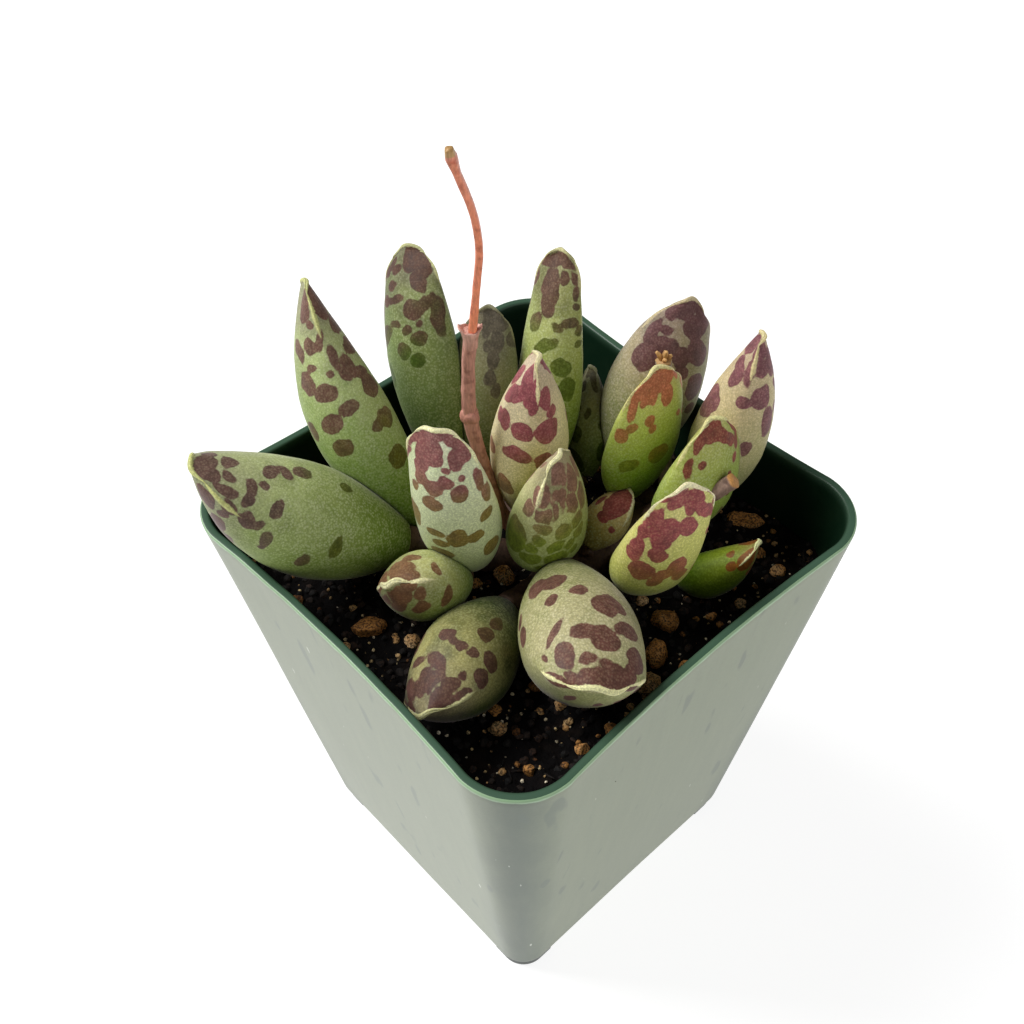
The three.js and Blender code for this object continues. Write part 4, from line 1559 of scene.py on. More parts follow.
@dataclass
class WoodyStems:
    """The short branching stem and the twig that carries each leaf."""

    leaves: list[PloverLeaf]
    twig_radius: float = 1.5
    twig_share: float = 0.8
    gap: float = 0.3
    bend_at: float = 0.55
    sag: float = 0.12

    CROWN = (2, 2, 56, 3)
    BRANCHES = [
        [CROWN, (-1.5, -2.5, 61.5, 2.5), (-5.5, -7, 64, 2.1), (-7, -9.5, 66, 1.6)],
        [CROWN, (-3, 2.5, 61.5, 2.5), (-8, 5, 64, 2.1), (-10, 6, 66, 1.6)],
        [CROWN, (6.5, 4.5, 61.5, 2.5), (8.5, 9.5, 64.5, 2.1), (9.5, 15.5, 66, 1.7)],
        [CROWN, (4.2, 0.8, 61, 2.3), (5.2, 0.8, 64, 1.9)],
    ]

    def twig(self, leaf: PloverLeaf) -> Skin:
        """Build the twig of one leaf, from the nearest branch to just short of its neck.

        Args:
            leaf: the leaf that it carries.

        Returns:
            The twig's skin.
        """
        root = np.array(leaf.root)
        axis = leaf.axes()[0]
        lines = [curve_through(np.array(knots, dtype=float), 12)[0][12:] for knots in self.BRANCHES]
        starts = np.vstack(lines)
        start = starts[np.argmin(np.linalg.norm(starts - root, axis=1))]
        end = root - axis * self.gap
        middle = start + (end - start) * self.bend_at
        middle[2] -= self.sag * np.linalg.norm(end - start)
        neck = PloverLeaf.NECK_SHARE * self.twig_share * (leaf.width + leaf.depth) / 4
        knots = [(*start, self.twig_radius), (*middle, (self.twig_radius + neck) / 2), (*end, neck)]
        return tube(knots, sides=18, steps=8, ribs=5, rib_depth=0.05, grain=0.12)

    def build(self) -> None:
        """Build the stems, dress them and seat them."""
        bars = [
            tube(knots, sides=26, steps=14, ribs=6, rib_depth=0.05, grain=0.12) for knots in self.BRANCHES
        ]
        bars += [self.twig(leaf) for leaf in self.leaves]
        bark = WoodFinish("corky_stem_bark", "#4c3a2e", "#5c4436", "#36241e", "#5c4436")
        settle(build_object("woody_stems", join(bars), [bark.material()]), Slot.BARK, "stems")


@dataclass
class FlowerStalk:
    """The dried flower stalk: ribbed foot, swollen node, cup and the thin thread above it."""

    node_at: tuple[float, float, float] = (-7.9, -1.7, 82.4)
    node_size: tuple[float, float, float] = (1.3, 1.25, 1.2)
    cup_at: tuple[float, float, float] = (-7.9, -1.0, 92.8)
    cup_radius: float = 1.5
    cup_height: float = 3.0

    # The direction of the cup's broad side, its two kinds of tear and how far it is pinched.
    BROAD = (0.667, 0.745)
    TEARS = (0.09, 0.03)
    PINCH = 0.35
    # The node's size between its three lobes, and how far the lobes stand out.
    KNOT_SHARE = (0.93, 0.93, 0.98)
    LOBES = 0.1
    STALK = [
        (-3.4, 1.4, 62.6, 1.1),
        (-4.6, -0.2, 66, 1.0),
        (-5.8, -0.7, 71, 0.9),
        (-6.9, -1.3, 76, 0.85),
        (-7.9, -1.7, 82, 0.9),
        (-8.5, -1.1, 89, 0.78),
        (-7.8, -1.0, 95.5, 0.8),
    ]
    THREAD = [
        (-7.7, -0.9, 94.6, 0.55),
        (-6.5, -1.0, 102, 0.46),
        (-5.5, -1.2, 108, 0.45),
        (-4.5, -2.7, 114, 0.43),
        (-4.6, -4.3, 119, 0.44),
        (-4.2, -5.3, 121.6, 0.62),
        (-4.1, -5.6, 122.6, 0.45),
    ]
    CUP = [(0, 0), (0.52, 0), (0.6, 0.5), (0.74, 0.8), (1, 1), (0.9, 1.02), (0.5, 0.86), (0, 0.84)]

    def cup(self) -> Skin:
        """Build the small flared collar that the thread stands in, with two low points.

        Returns:
            The cup's skin.
        """
        angle = np.linspace(0, 2 * math.pi, 40, endpoint=False)
        rings = []
        profile = np.array(self.CUP)
        lengths = np.concatenate([[0], np.cumsum(np.linalg.norm(np.diff(profile, axis=0), axis=1))])
        for station in np.linspace(0.02, lengths[-1] - 0.02, 26):
            reach = np.interp(station, lengths, profile[:, 0]) * self.cup_radius
            height = np.interp(station, lengths, profile[:, 1]) * self.cup_height
            flare = (height / self.cup_height) ** 4
            tear = self.TEARS[0] * np.cos(2 * angle) + self.TEARS[1] * np.sin(7 * angle)
            broad = reach * np.cos(angle)
            narrow = reach * np.sin(angle) * (1 - self.PINCH * flare)
            x = broad * self.BROAD[0] - narrow * self.BROAD[1]
            y = broad * self.BROAD[1] + narrow * self.BROAD[0]
            rings.append(np.stack([x, y, height * (1 + tear * flare)], axis=1))
        rings = np.array(rings) + np.array(self.cup_at)
        along = np.repeat(np.linspace(0, 0.95, len(rings))[:, None], rings.shape[1], axis=1)
        return loft(rings, {"along": along})

    def knot(self) -> Skin:
        """Build the swollen node where bracts once sat.

        Returns:
            The node's skin.
        """
        angle = np.linspace(0, 2 * math.pi, 32, endpoint=False)
        rings = []
        for lift in np.linspace(-0.96, 0.96, 18):
            reach = math.sqrt(1 - lift**2) * (1 + self.LOBES * np.cos(3 * angle + 2 * lift))
            ring = np.stack([reach * np.cos(angle), reach * np.sin(angle), np.full(32, lift)], axis=1)
            rings.append(ring * self.node_size * self.KNOT_SHARE)
        rings = np.array(rings) + np.array(self.node_at)
        return loft(rings, {"along": np.full(rings.shape[:2], 0.4)})

    def build(self) -> None:
        """Build the stalk, dress it and seat it."""
        stalk = tube(self.STALK, sides=24, steps=16, ribs=5, rib_depth=0.07, grain=0.08)
        thread = tube(self.THREAD, sides=18, steps=16, ribs=4, rib_depth=0.08, grain=0.1)
        dusky = WoodFinish("dried_stalk_lower", "#b07866", "#c08a7a", "#8a584c", "#c08a7a")
        salmon = WoodFinish(
            "dried_stalk_upper", "#ec8c68", "#c88068", "#b4604a", "#b08a58", roughness=0.42, tip_from=0.88
        )
        pink = WoodFinish("dried_collar", "#b88070", "#e4b8a8", "#a87060", "#e4b8a8", roughness=0.5)
        skin = join([stalk.paint(0), self.knot().paint(0), self.cup().paint(2), thread.paint(1)])
        finishes = [finish.material() for finish in (dusky, salmon, pink)]
        made = build_object("dried_flower_stalk", skin, finishes)
        settle(made, Slot.STALK, "flower_stalk")


@dataclass
class OldStubs:
    """The dead ends of two old flower stalks among the right-hand leaves."""

    # Knots of the stubs, and how far each shred of the dry one reaches from its end.
    CUT = [(10.6, 14.2, 65.6, 1.1), (14.6, 14.6, 71.5, 0.9), (18.1, 17.6, 76.8, 1.0)]
    DRY = [(8, 17.6, 65.6, 0.9), (4.6, 20.6, 73, 0.8), (2, 22.4, 79.8, 0.8), (1.6, 22.4, 82.6, 1.0)]
    SHREDS = [(0.7, 0.7, 0.8), (-0.8, -0.6, 1.2), (0.3, 0.1, 1.5), (-0.3, 0.6, 1.0), (0.6, -0.3, 0.5)]

    def build(self) -> None:
        """Build both stubs, dress them and seat them."""
        mauve = WoodFinish("cut_stalk_end", "#84685c", "#9c8072", "#644a40", "#c8904e", tip_from=0.975)
        papery = WoodFinish("papery_stalk_end", "#9a8a76", "#b8a890", "#7a6450", "#b08a58")
        cut = tube(self.CUT, sides=26, steps=18, ribs=5, rib_depth=0.06, grain=0.12)
        crown = np.array(self.DRY[-1][:3])
        foot = (*(crown - UP * 0.6), 0.3)
        shreds = [
            tube([foot, (*(crown + np.array(shred) * 0.6), 0.34), (*(crown + shred), 0.2)], sides=8, steps=5)
            for shred in self.SHREDS
        ]
        bar = tube(self.DRY, sides=24, steps=18, ribs=7, rib_depth=0.1, grain=0.14)
        dry = join([bar.paint(0)] + [shred.paint(1) for shred in shreds])
        settle(build_object("cut_stalk_stub", cut, [mauve.material()]), Slot.STALK, "cut_stub")
        tan = WoodFinish("dried_bracts", "#a87c48", "#d0a468", "#7c5230", "#d0a468")
        made = build_object("papery_stalk_stub", dry, [papery.material(), tan.material()])
        settle(made, Slot.STALK, "dry_stub")


# The plant's own leaves.

# Name, root, heading, rise, roll, bow, length, width, depth, tip, fat and wave, in millimetres and degrees.
LEAF_ROWS = [
    ("left_lying", (-9.5, -12.4, 66.3), -119, 23.2, -9, 9, 29.1, 13.8, 14.4, 0.62, 0.46, 0.3),
    ("left_tall", (-11.2, -7.9, 65.8), -154, 46, -49, 11, 32.4, 12, 10.8, 0.47, 0.45, 0.2),
    ("small_left", (-0.5, -10.5, 65), -84, 32, -40, 2, 14, 9.8, 8.8, 0.55, 0.54, 0.3),
    ("front_left_low", (6, -9.5, 64), -67, 8, 151, -2, 21, 11.8, 12.2, 0.55, 0.48, 0.3),
    ("front_right", (8, -1.5, 66), -37, 17, 12, 4, 28, 14.2, 13.8, 0.67, 0.54, 0.3),
    ("front_upright", (-2, -7.5, 65), -80, 78, 160, -1.5, 27, 10.4, 9.8, 0.72, 0.34, 0.3),
    ("small_middle", (6.5, 4.5, 65), 94, 24, 24, 0.5, 9.5, 6.6, 5.6, 0.55, 0.43, 0.2),
    ("middle_young", (4, -1, 66), 36, 83, 16, 0.5, 18.5, 12.2, 9.6, 0.51, 0.25, 0.3),
    ("centre_pink", (-4.5, 3.5, 65), 80, 83, 29, 0.5, 25, 11, 10, 0.56, 0.41, 0.3),
    ("right_red_tip", (4, 14.5, 65), 70, 79, 77, 1, 21.3, 12, 5.8, 0.62, 0.39, 0.3),
    ("right_second", (11.5, 15, 65), 19, 65, 31, 6, 18, 12.2, 6.8, 0.55, 0.38, 0.3),
    ("right_low_blotched", (15.3, 4, 66), -5, 67, 22, 3.5, 22.6, 10.4, 7.4, 0.68, 0.32, 0.3),
    ("right_crescent", (17.2, 10.6, 62.7), 31, 20, 16, 5.5, 11.5, 6, 6.2, 0.5, 0.34, 0.1),
    ("right_tall", (11, 21, 65), 72, 70, 40, 2.5, 26, 8.8, 9.8, 0.53, 0.39, 0.3),
    ("back_right_broad", (-0.5, 18.5, 65), 98, 62, -57, 2, 25, 13.2, 10.2, 0.49, 0.46, 0.3),
    ("back_middle", (-7.3, 10.5, 65), 131.5, 70, 26, -2, 29.9, 9, 7.6, 0.6, 0.36, 0.3),
    ("back_left", (-15, 0, 65), 165, 63, 57, -4, 31, 10.6, 7.2, 0.67, 0.54, 0.3),
    ("back_shaded", (-12.5, 4, 65), 130, 68, -7, 0, 23.2, 9, 7.4, 0.54, 0.42, 0.3),
    ("back_short", (-3, 14, 64), 133, 50, 60, 0, 15, 7, 6, 0.5, 0.42, 0.2),
]

SKINS = {
    "left_lying": LeafSkin(
        "#6c842a", "#aebb78", "#525a15", "#5f433e", "#c9cc84", tip_tint="#8f8278", tip_share=0.5, turn_at=0.6,
        margin_run=4.0
    ),
    "left_tall": LeafSkin(
        "#7e9c40", "#bccb86", "#5e5a18", "#6d4a42", "#c9cb88", tip_tint="#84726c", tip_share=0.6,
        margin_run=4.0
    ),
    "small_left": LeafSkin(
        "#6e8823", "#b6b774", "#6e6b21", "#704c35", "#ded9a8", tip_tint="#7c6a58", tip_share=0.4,
        margin_run=2.0
    ),
    "front_left_low": LeafSkin(
        "#2c3c04", "#a29c62", "#4a3c12", "#543630", "#c8c690", bloom="#a2a478", bloom_amount=0.2,
        tip_tint="#70605a", tip_share=0.5, shade=0.8, margin_width=0.28, underside_green_and_shade=1.0
    ),
    "front_right": LeafSkin(
        "#747e3b", "#aea87b", "#595723", "#5f3732", "#e9e6ac", bloom="#c4bc9a", turn_at=0.25, margin_run=2.2
    ),
    "front_upright": LeafSkin(
        "#c0cf95", "#f1f1d3", "#7a6726", "#84464a", "#f0edb8", bloom="#d0d2b4", turn_at=0.68
    ),
    "small_middle": LeafSkin("#a6974d", "#f2d095", "#806034", "#8a3740", "#ece6bc", turn_at=0.3, shade=0.6),
    "middle_young": LeafSkin(
        "#a9bc6c", "#e4d4a8", "#80912e", "#8c6458", "#f2edb8", bloom="#c0c69e", tip_tint="#80705c",
        tip_share=0.7, turn_at=0.6, seam=0.12
    ),
    "centre_pink": LeafSkin(
        "#cfc284", "#f1e4c4", "#886a3c", "#924653", "#ece2b0", bloom="#dccfae", tip_tint="#a8887c",
        tip_share=0.45, shade=0.35, margin_run=2.5
    ),
    "right_red_tip": LeafSkin(
        "#84ad27", "#ebf181", "#7a8521", "#bc5b4a", "#e2da9c", tip_tint="#b8805c", tip_share=0.4,
        spot_fade=0.14, turn_at=0.6, shade=0.4
    ),
    "right_second": LeafSkin(
        "#86a431", "#c4ce6b", "#605722", "#843935", "#e2dc9c", tip_tint="#a8785c", tip_share=0.25, shade=0.4
    ),
    "right_low_blotched": LeafSkin(
        "#b2bb50", "#ecdc92", "#8e6628", "#8e3a46", "#f2eabc", bloom="#d4cc9c", shade=0.45
    ),
    "right_crescent": LeafSkin(
        "#4c6804", "#6e7d14", "#60500b", "#713f0f", "#d2d49c", bloom="#8a9a50", bloom_amount=0.1,
        tip_tint="#8a6a50", tip_share=0.5, margin_width=0.22, margin_run=1.5
    ),
    "right_tall": LeafSkin(
        "#acaf70", "#e0c99d", "#6c5140", "#7b4851", "#e0d29c", bloom="#c4b898", tip_tint="#94767a",
        tip_share=0.45, underside_green_and_shade=0.5
    ),
    "back_right_broad": LeafSkin(
        "#818854", "#bbab88", "#5a4a2b", "#664244", "#cfc098", bloom="#b8aca0", tip_tint="#80646a",
        tip_share=0.5, shade=0.6
    ),
    "back_middle": LeafSkin(
        "#809637", "#bbc176", "#5c6d21", "#64453b", "#c8c490", tip_tint="#6c5850", tip_share=0.6, turn_at=0.7
    ),
    "back_left": LeafSkin(
        "#647d3c", "#889455", "#465d16", "#583b31", "#c4c490", tip_tint="#665250", tip_share=0.6,
        turn_at=0.66, bloom_amount=0.2
    ),
    "back_shaded": LeafSkin(
        "#6b7944", "#8f8b65", "#5e653b", "#5c5547", "#8c8a6a", tip_tint="#6a5c58", tip_share=0.6,
        bloom="#8c9078"
    ),
    "back_short": LeafSkin("#65713e", "#99936a", "#3c4819", "#4e4629", "#8c8a68", bloom="#8c9078"),
}

# Blotches on the side that faces the viewpoint: share of the length, angle, length, width and turn.
MARKS = {
    "left_lying": [
        (0.95, 95, 2.2, 3), (0.94, 118, 2, 2.6), (0.97, 112, 1.6, 3), (0.88, 92, 1.6, 2.4),
        (0.885, 119, 0.9, 1.6), (0.9, 145, 2.4, 1.5), (0.815, 148, 1.7, 1.9), (0.81, 129, 1.5, 2.6),
        (0.765, 123, 1.2, 1.3), (0.745, 103, 1.7, 2.1), (0.69, 103, 3, 1, -50), (0.625, 97, 2.8, 2),
        (0.7, 147, 1.7, 2.3), (0.41, 100, 2.3, 1.5), (0.785, 177, 3, 1.7), (0.73, 172, 1.1, 1.3),
        (0.87, 178, 1.7, 1.6), (0.675, 188, 1.7, 2.2), (0.66, 200, 1.1, 1.3), (0.49, 193, 1.4, 2.5),
        (0.4, 167, 1.7, 3), (0.92, 225, 3, 2.6), (0.81, 232, 2.2, 2.4), (0.79, 246, 2.2, 2.2),
        (0.73, 240, 1.6, 1.8), (0.855, 208, 1.2, 1.6),
    ],
    "left_tall": [
        (0.93, 130, 4.2, 3.6), (0.96, 158, 2.5, 1.9), (0.84, 112, 2.3, 3.2), (0.93, 232, 3.8, 2.1),
        (0.87, 215, 1.2, 1.2), (0.82, 190, 2.4, 1.2, -25), (0.805, 218, 1.6, 1.9), (0.79, 245, 3.2, 1.4, 30),
        (0.735, 219, 1.1, 1.7), (0.68, 233, 3.2, 2.6, 30), (0.64, 205, 2.2, 3.4), (0.57, 180, 1.9, 2.9),
        (0.535, 212, 2.1, 3.3, 20), (0.447, 210, 2.3, 3.2), (0.525, 251, 2.3, 2.3), (0.465, 132, 2.8, 3.4),
        (0.46, 153, 1.6, 2), (0.31, 148, 2.8, 3.2), (0.6, 128, 3.2, 3.8), (0.66, 130, 2.1, 2.9),
        (0.76, 118, 2.3, 3.2), (0.7, 145, 3.2, 2), (0.75, 163, 3.4, 1.3), (0.68, 161, 1.7, 1.5),
        (0.705, 184, 1.1, 1.1),
    ],
    "small_left": [
        (0.61, 207, 1.6, 2.6), (0.75, 243, 1.3, 2.6), (0.83, 225, 1.1, 1.8), (0.71, 157, 1.1, 2),
        (0.76, 105, 1.5, 2.4), (0.9, 110, 2, 3.2), (0.85, 90, 1.6, 2.6), (0.93, 145, 1.4, 1.8),
        (0.9, 260, 1.6, 3.6), (0.93, 225, 1.3, 2), (0.84, 278, 1.5, 2.4),
    ],
    "front_left_low": [
        (0.485, 323, 2.4, 2.1), (0.59, 345, 2.2, 2.7), (0.64, 321, 1.4, 1.3), (0.71, 350, 2.2, 2.4),
        (0.78, 323, 1, 1), (0.85, 347, 2.3, 1.5), (0.85, 315, 1.9, 2), (0.84, 295, 1.9, 1.2),
        (0.835, 272, 1.3, 1.8), (0.87, 283, 1.9, 1.3), (0.76, 282, 1.7, 3.2, -30), (0.6, 283, 1.8, 2.2),
        (0.65, 305, 1.4, 1.4), (0.63, 295, 1.2, 1), (0.755, 248, 1.1, 2.6), (0.93, 312, 2, 3.2),
        (0.885, 262, 1.4, 2.6), (0.92, 340, 1.6, 1.1), (0.35, 325, 2.6, 1.6), (0.9, 240, 2, 2),
    ],
    "front_right": [
        (0.43, 58, 4.2, 3), (0.4, 38, 4.6, 2.6), (0.565, 78, 2.3, 2), (0.583, 52, 1.8, 2),
        (0.66, 97, 3.3, 2.4), (0.63, 112, 2.4, 3.2, -40), (0.69, 101, 2.1, 2.2), (0.76, 46, 3.2, 1.2, -50),
        (0.87, 50, 2.7, 2.4), (0.83, 24, 1.6, 0.7), (0.8, 76, 1.6, 3), (0.825, 98, 2.5, 3.9),
        (0.75, 125, 2.1, 4, 15), (0.86, 138, 2.8, 2.8), (0.905, 76, 1, 2.2), (0.965, 80, 1.6, 5.6),
        (0.94, 110, 1.6, 2.4), (0.92, 95, 0.9, 1.6), (0.6, 5, 3, 2), (0.49, 5, 2.4, 1.6),
        (0.95, 48, 1.2, 1.6),
    ],
    "front_upright": [
        (0.965, 50, 2.4, 3.2), (0.92, 44, 3.4, 1.9), (0.975, 85, 1.4, 3.6), (0.94, 105, 3, 2.6),
        (0.89, 94, 3, 2.5), (0.885, 118, 3, 2.4), (0.87, 57, 2.4, 1.9), (0.83, 118, 2.8, 2.3),
        (0.82, 76, 0.8, 1.3), (0.782, 53, 1, 0.8), (0.76, 78, 1.7, 1.8), (0.73, 98, 1.9, 2.3),
        (0.7, 60, 2.3, 2.4, 45), (0.648, 100, 2, 2.6), (0.76, 117, 2, 2), (0.53, 18, 1.9, 2.7),
        (0.455, 70, 3, 2.6), (0.435, 45, 1.7, 2.5), (0.487, 100, 1.4, 2.4), (0.417, 95, 1.3, 2),
        (0.337, 98, 2.2, 3), (0.3, 25, 3, 3), (0.645, 3, 2.9, 2), (0.74, 18, 3.4, 1.5), (0.52, 140, 4, 2.7),
        (0.7, 132, 1.3, 1.4),
    ],
    "small_middle": [
        (0.68, 52, 4.4, 3.6), (0.42, 60, 1.8, 2), (0.84, 70, 3, 2.6), (0.35, 20, 0.9, 0.8),
        (0.62, 100, 1.8, 1), (0.88, 48, 1.2, 1.4),
    ],
    "middle_young": [
        (0.88, 290, 3.5, 3.2), (0.8, 270, 4.2, 3.2), (0.78, 300, 4.2, 2.8), (0.7, 282, 3.2, 3),
        (0.72, 313, 3.2, 2.2), (0.66, 257, 3.2, 3.2), (0.8, 335, 4.2, 1.9), (0.7, 335, 2.8, 2.8),
        (0.7, 25, 2.6, 2.3), (0.83, 18, 2.3, 1.9), (0.42, 32, 5.1, 4.6), (0.48, 345, 2, 1.7),
        (0.59, 338, 1.6, 2.3), (0.53, 305, 2.3, 2.8), (0.54, 280, 2.1, 2.6), (0.42, 315, 2, 2.8),
        (0.4, 355, 2, 2), (0.32, 312, 2.1, 3.5), (0.33, 290, 1.5, 2.1), (0.32, 352, 2, 2.8),
        (0.235, 330, 1, 2.3), (0.39, 296, 1.6, 2.1), (0.46, 278, 2.1, 2.3),
    ],
    "centre_pink": [
        (0.66, 28, 2.9, 3.2), (0.515, 28, 2.3, 4.1), (0.86, 35, 2.8, 2.3), (0.83, 21, 2.4, 1.7),
        (0.83, 62, 3.5, 1.8, -40), (0.78, 82, 3.9, 2.1, -40), (0.92, 62, 2.6, 2.6, -30),
        (0.85, 105, 3.2, 2.2, -30), (0.66, 68, 2.2, 3), (0.64, 86, 1.7, 2.2), (0.46, 80, 1.8, 2.5),
        (0.29, 42, 3.2, 2.8), (0.765, 318, 1.5, 1.5), (0.67, 335, 3.5, 3.5), (0.85, 325, 2.6, 2.4),
        (0.5, 345, 2.4, 2.6), (0.93, 15, 2.2, 1.5),
    ],
    "right_red_tip": [
        (0.95, 272, 3.6, 4.4), (0.94, 315, 3.8, 3.8), (0.9, 292, 4, 2.6), (0.82, 258, 2.4, 2.4),
        (0.82, 306, 1, 1), (0.8, 328, 3.4, 1.4), (0.62, 340, 2, 1.9), (0.67, 322, 1.5, 1.3),
        (0.69, 290, 1.6, 1.8), (0.63, 283, 1.4, 1.4), (0.44, 265, 3, 3.6), (0.4, 312, 2.2, 2.8),
    ],
    "right_second": [
        (0.93, 285, 2.6, 3.4), (0.92, 310, 3, 1.7), (0.86, 250, 1.5, 2.6), (0.73, 325, 3, 1.3),
        (0.86, 313, 1.6, 1.1), (0.74, 300, 1, 1.1), (0.9, 265, 1.4, 2),
    ],
    "right_low_blotched": [
        (0.467, 312, 3.3, 3.1), (0.45, 280, 2.2, 2.4), (0.385, 288, 2.2, 1.9), (0.5, 262, 3.6, 2.9),
        (0.42, 252, 2.5, 2.2), (0.74, 298, 4.6, 3.1), (0.61, 298, 2.2, 2.6), (0.8, 316, 4.6, 1.4),
        (0.77, 262, 2.3, 2.9), (0.9, 262, 3.3, 1.9), (0.875, 240, 1.8, 1.3), (0.85, 222, 2.2, 1.8),
        (0.6, 335, 4, 1.8), (0.72, 335, 2.2, 1.5), (0.55, 338, 1.8, 2.2), (0.82, 335, 2.9, 1.1),
        (0.945, 290, 2.6, 2.6), (0.97, 312, 1.3, 2.2),
    ],
    "right_crescent": [
        (0.9, 15, 2, 1.6), (0.86, 335, 3, 2.6), (0.72, 20, 1.4, 1.2), (0.76, 60, 1, 1),
    ],
    "right_tall": [
        (0.73, 322, 3.3, 3.2), (0.695, 2, 1.8, 1.8), (0.6, 300, 4.1, 2), (0.79, 48, 3.2, 2.3),
        (0.87, 320, 2.1, 2.1), (0.86, 12, 4.1, 1.3), (0.455, 335, 2, 1.7), (0.6, 72, 4.9, 3.9),
        (0.95, 335, 2.4, 2.9), (0.88, 290, 3.7, 2.1), (0.93, 80, 2.4, 2.4), (0.84, 66, 1.8, 1.8),
    ],
    "back_right_broad": [
        (0.755, 65, 2.9, 4.2), (0.86, 78, 2.6, 3.5), (0.75, 122, 3, 4.2), (0.69, 126, 2.5, 2.5),
        (0.68, 142, 3.8, 2.8), (0.65, 88, 2.1, 2.5), (0.72, 95, 2.5, 3), (0.58, 58, 3.8, 3.8),
        (0.45, 52, 2, 2.1), (0.85, 125, 1.4, 1.9), (0.96, 100, 2.5, 3.8), (0.95, 130, 2.2, 2.5),
        (0.91, 58, 3, 2.1), (0.82, 148, 4, 1.4),
    ],
    "back_middle": [
        (0.955, 60, 1.7, 2.8), (0.95, 100, 2, 3.6), (0.82, 92, 5.4, 2.4), (0.86, 106, 3.4, 1.8),
        (0.745, 88, 1.8, 2.1), (0.885, 62, 1.8, 1.3), (0.83, 22, 1.8, 1), (0.78, 22, 1, 1),
        (0.71, 38, 1.3, 2.3), (0.69, 63, 1, 1.6), (0.605, 80, 3.6, 1.7, -60), (0.515, 48, 2.5, 2.9),
        (0.69, 112, 2.8, 1.8), (0.68, 12, 1.4, 1.3), (0.62, 12, 1.2, 1.3), (0.42, 32, 3.2, 2.8),
        (0.9, 30, 1.6, 1.2),
    ],
    "back_left": [
        (0.965, 60, 2, 4), (0.93, 76, 3, 3), (0.91, 45, 3, 2.1), (0.85, 60, 2.4, 2.6), (0.745, 70, 2.4, 3),
        (0.77, 50, 2, 1.6), (0.715, 25, 5.4, 2), (0.78, 34, 2.4, 1.4), (0.84, 117, 1.1, 1.6),
        (0.79, 105, 1, 2.8), (0.78, 128, 1.6, 2), (0.67, 83, 1.2, 1.6), (0.69, 105, 0.9, 1.8),
        (0.69, 62, 0.8, 1), (0.63, 64, 2.1, 2.4), (0.58, 92, 2.3, 2.3), (0.54, 70, 1.9, 2),
        (0.9, 110, 1.4, 1.6),
    ],
    "back_shaded": [
        (0.93, 70, 3, 3.2), (0.82, 68, 2.4, 2), (0.72, 78, 2.6, 1.8), (0.8, 92, 1.4, 1.1), (0.62, 85, 2, 1.6),
        (0.88, 97, 2, 1.4), (0.55, 74, 2, 1.6),
    ],
}


def plover_leaves() -> list[PloverLeaf]:
    """Every leaf, the ones that keep their full form first.

    Returns:
        The leaves with their finishes and blotches.
    """
    return [
        PloverLeaf(*row, skin=SKINS[row[0]], marks=MARKS.get(row[0], []), seed=number)
        for number, row in enumerate(LEAF_ROWS, 1)
    ]


# Floor, light and camera.


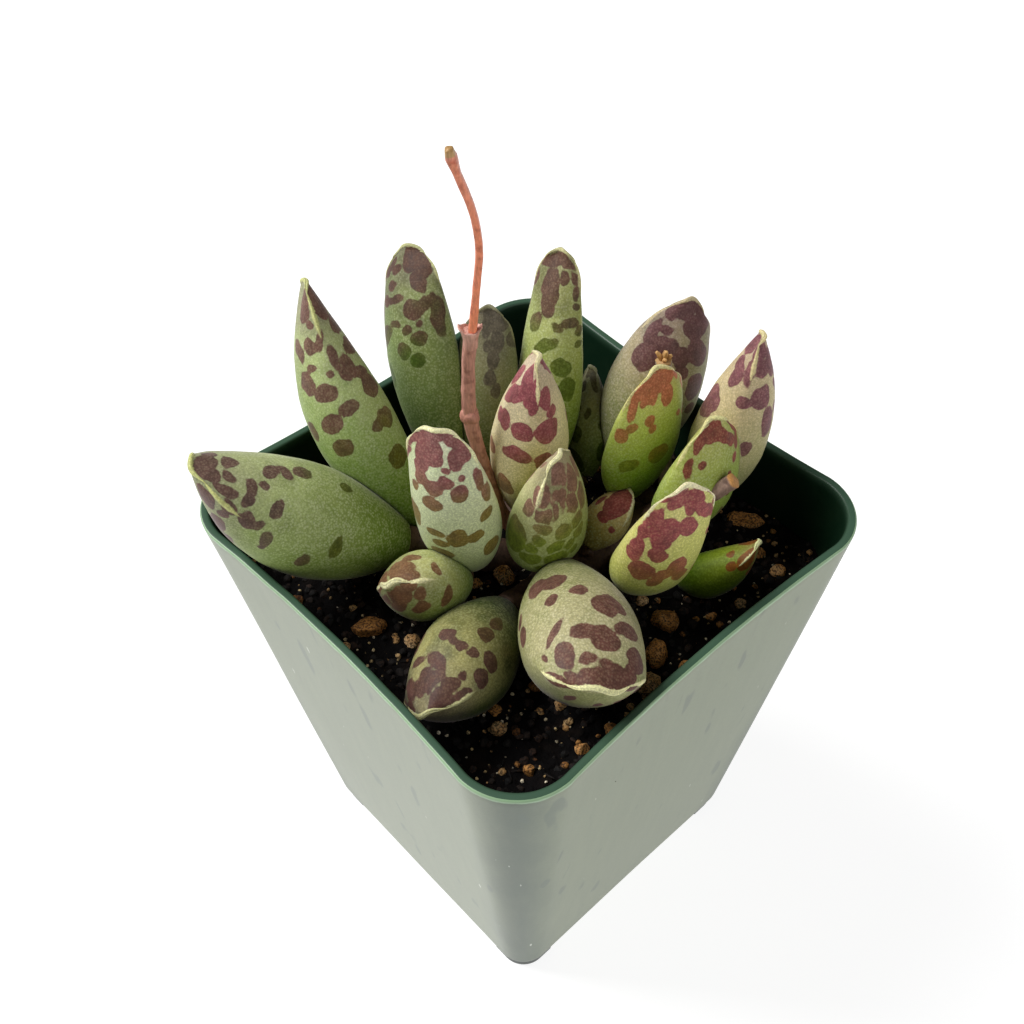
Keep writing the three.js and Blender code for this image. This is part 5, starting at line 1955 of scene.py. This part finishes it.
@dataclass
class Studio:
    """White sweep, soft light from the upper left and the camera at the photograph's angle."""

    view: Viewpoint = VIEWPOINT
    lens: float = 44.32
    sensor: float = 36.0
    floor_size: float = 8.0
    aim_height: float = 0.06
    world_strength: float = 0.14
    # Each light's name, place in metres, side in metres and power in watts.
    lights: tuple = (
        ("key_upper_left", (-0.74, -0.42, 1.0), 0.7, 20.5),
        ("fill_right", (0.9, 0.1, 0.6), 0.9, 3.3),
    )

    def floor(self) -> None:
        """Lay the white floor."""
        mesh = bpy.data.meshes.new("studio_floor")
        half = self.floor_size / 2
        corners = [(-half, -half, 0), (half, -half, 0), (half, half, 0), (-half, half, 0)]
        mesh.from_pydata(corners, [], [(0, 1, 2, 3)])
        made = bpy.data.objects.new("studio_floor", mesh)
        bpy.context.scene.collection.objects.link(made)
        material, tree, _ = blank_material("white_paper_sweep")
        paper = node(tree, "ShaderNodeBsdfDiffuse", inputs={"Color": (0.32, 0.32, 0.32, 1)})
        glow = node(tree, "ShaderNodeEmission", inputs={"Color": (1, 1, 1, 1), "Strength": 0.86})
        both = node(tree, "ShaderNodeAddShader", inputs={0: paper, 1: glow})
        node(tree, "ShaderNodeOutputMaterial", inputs={"Surface": both})
        mesh.materials.append(material)

    def softbox(self, name: str, place: tuple[float, float, float], size: float, power: float) -> None:
        """Hang a square soft light that points at the plant.

        Args:
            name: the light's name.
            place: where it hangs, in metres.
            size: its side in metres.
            power: its power in watts.
        """
        light = bpy.data.lights.new(name, "AREA")
        light.shape = "SQUARE"
        light.size = size
        light.energy = power
        made = bpy.data.objects.new(name, light)
        made.location = place
        towards = Vector(place) - Vector((0, 0, self.aim_height))
        made.rotation_euler = towards.to_track_quat("Z", "Y").to_euler()
        bpy.context.scene.collection.objects.link(made)

    def camera(self) -> None:
        """Place the camera."""
        roll = math.radians(self.view.roll)
        back = Vector(self.view.back())
        level = Vector(UP).cross(back).normalized()
        upright = back.cross(level)
        right = level * math.cos(roll) + upright * math.sin(roll)
        top = upright * math.cos(roll) - level * math.sin(roll)
        lens = bpy.data.cameras.new("camera")
        lens.lens = self.lens
        lens.sensor_width = self.sensor
        lens.clip_start = 0.01
        made = bpy.data.objects.new("camera", lens)
        place = Vector(self.view.place()) * MM
        turn = Matrix((right, top, back)).transposed().to_4x4()
        made.matrix_world = Matrix.Translation(place) @ turn
        bpy.context.scene.collection.objects.link(made)
        bpy.context.scene.camera = made

    def build(self) -> None:
        """Set up the floor, the light, the camera and the way light is shown."""
        self.floor()
        for light in self.lights:
            self.softbox(*light)
        world = bpy.data.worlds.new("studio")
        bpy.context.scene.world = world
        world.use_nodes = True
        world.node_tree.nodes.clear()
        white = {"Color": (1, 1, 1, 1), "Strength": self.world_strength}
        sky = node(world.node_tree, "ShaderNodeBackground", inputs=white)
        node(world.node_tree, "ShaderNodeOutputWorld", inputs={"Surface": sky})
        bpy.context.scene.view_settings.view_transform = "Standard"
        self.camera()


def main() -> None:
    """Build every piece in order and report it."""
    logging.basicConfig(level=logging.INFO, format="%(name)s %(message)s")
    Studio().build()
    pot = NurseryPot()
    pot.build()
    PottingMix(pot).build()
    leaves = plover_leaves()
    WoodyStems(leaves).build()
    FlowerStalk().build()
    OldStubs().build()
    Rosette(leaves).build()


if __name__ == "__main__":
    main()
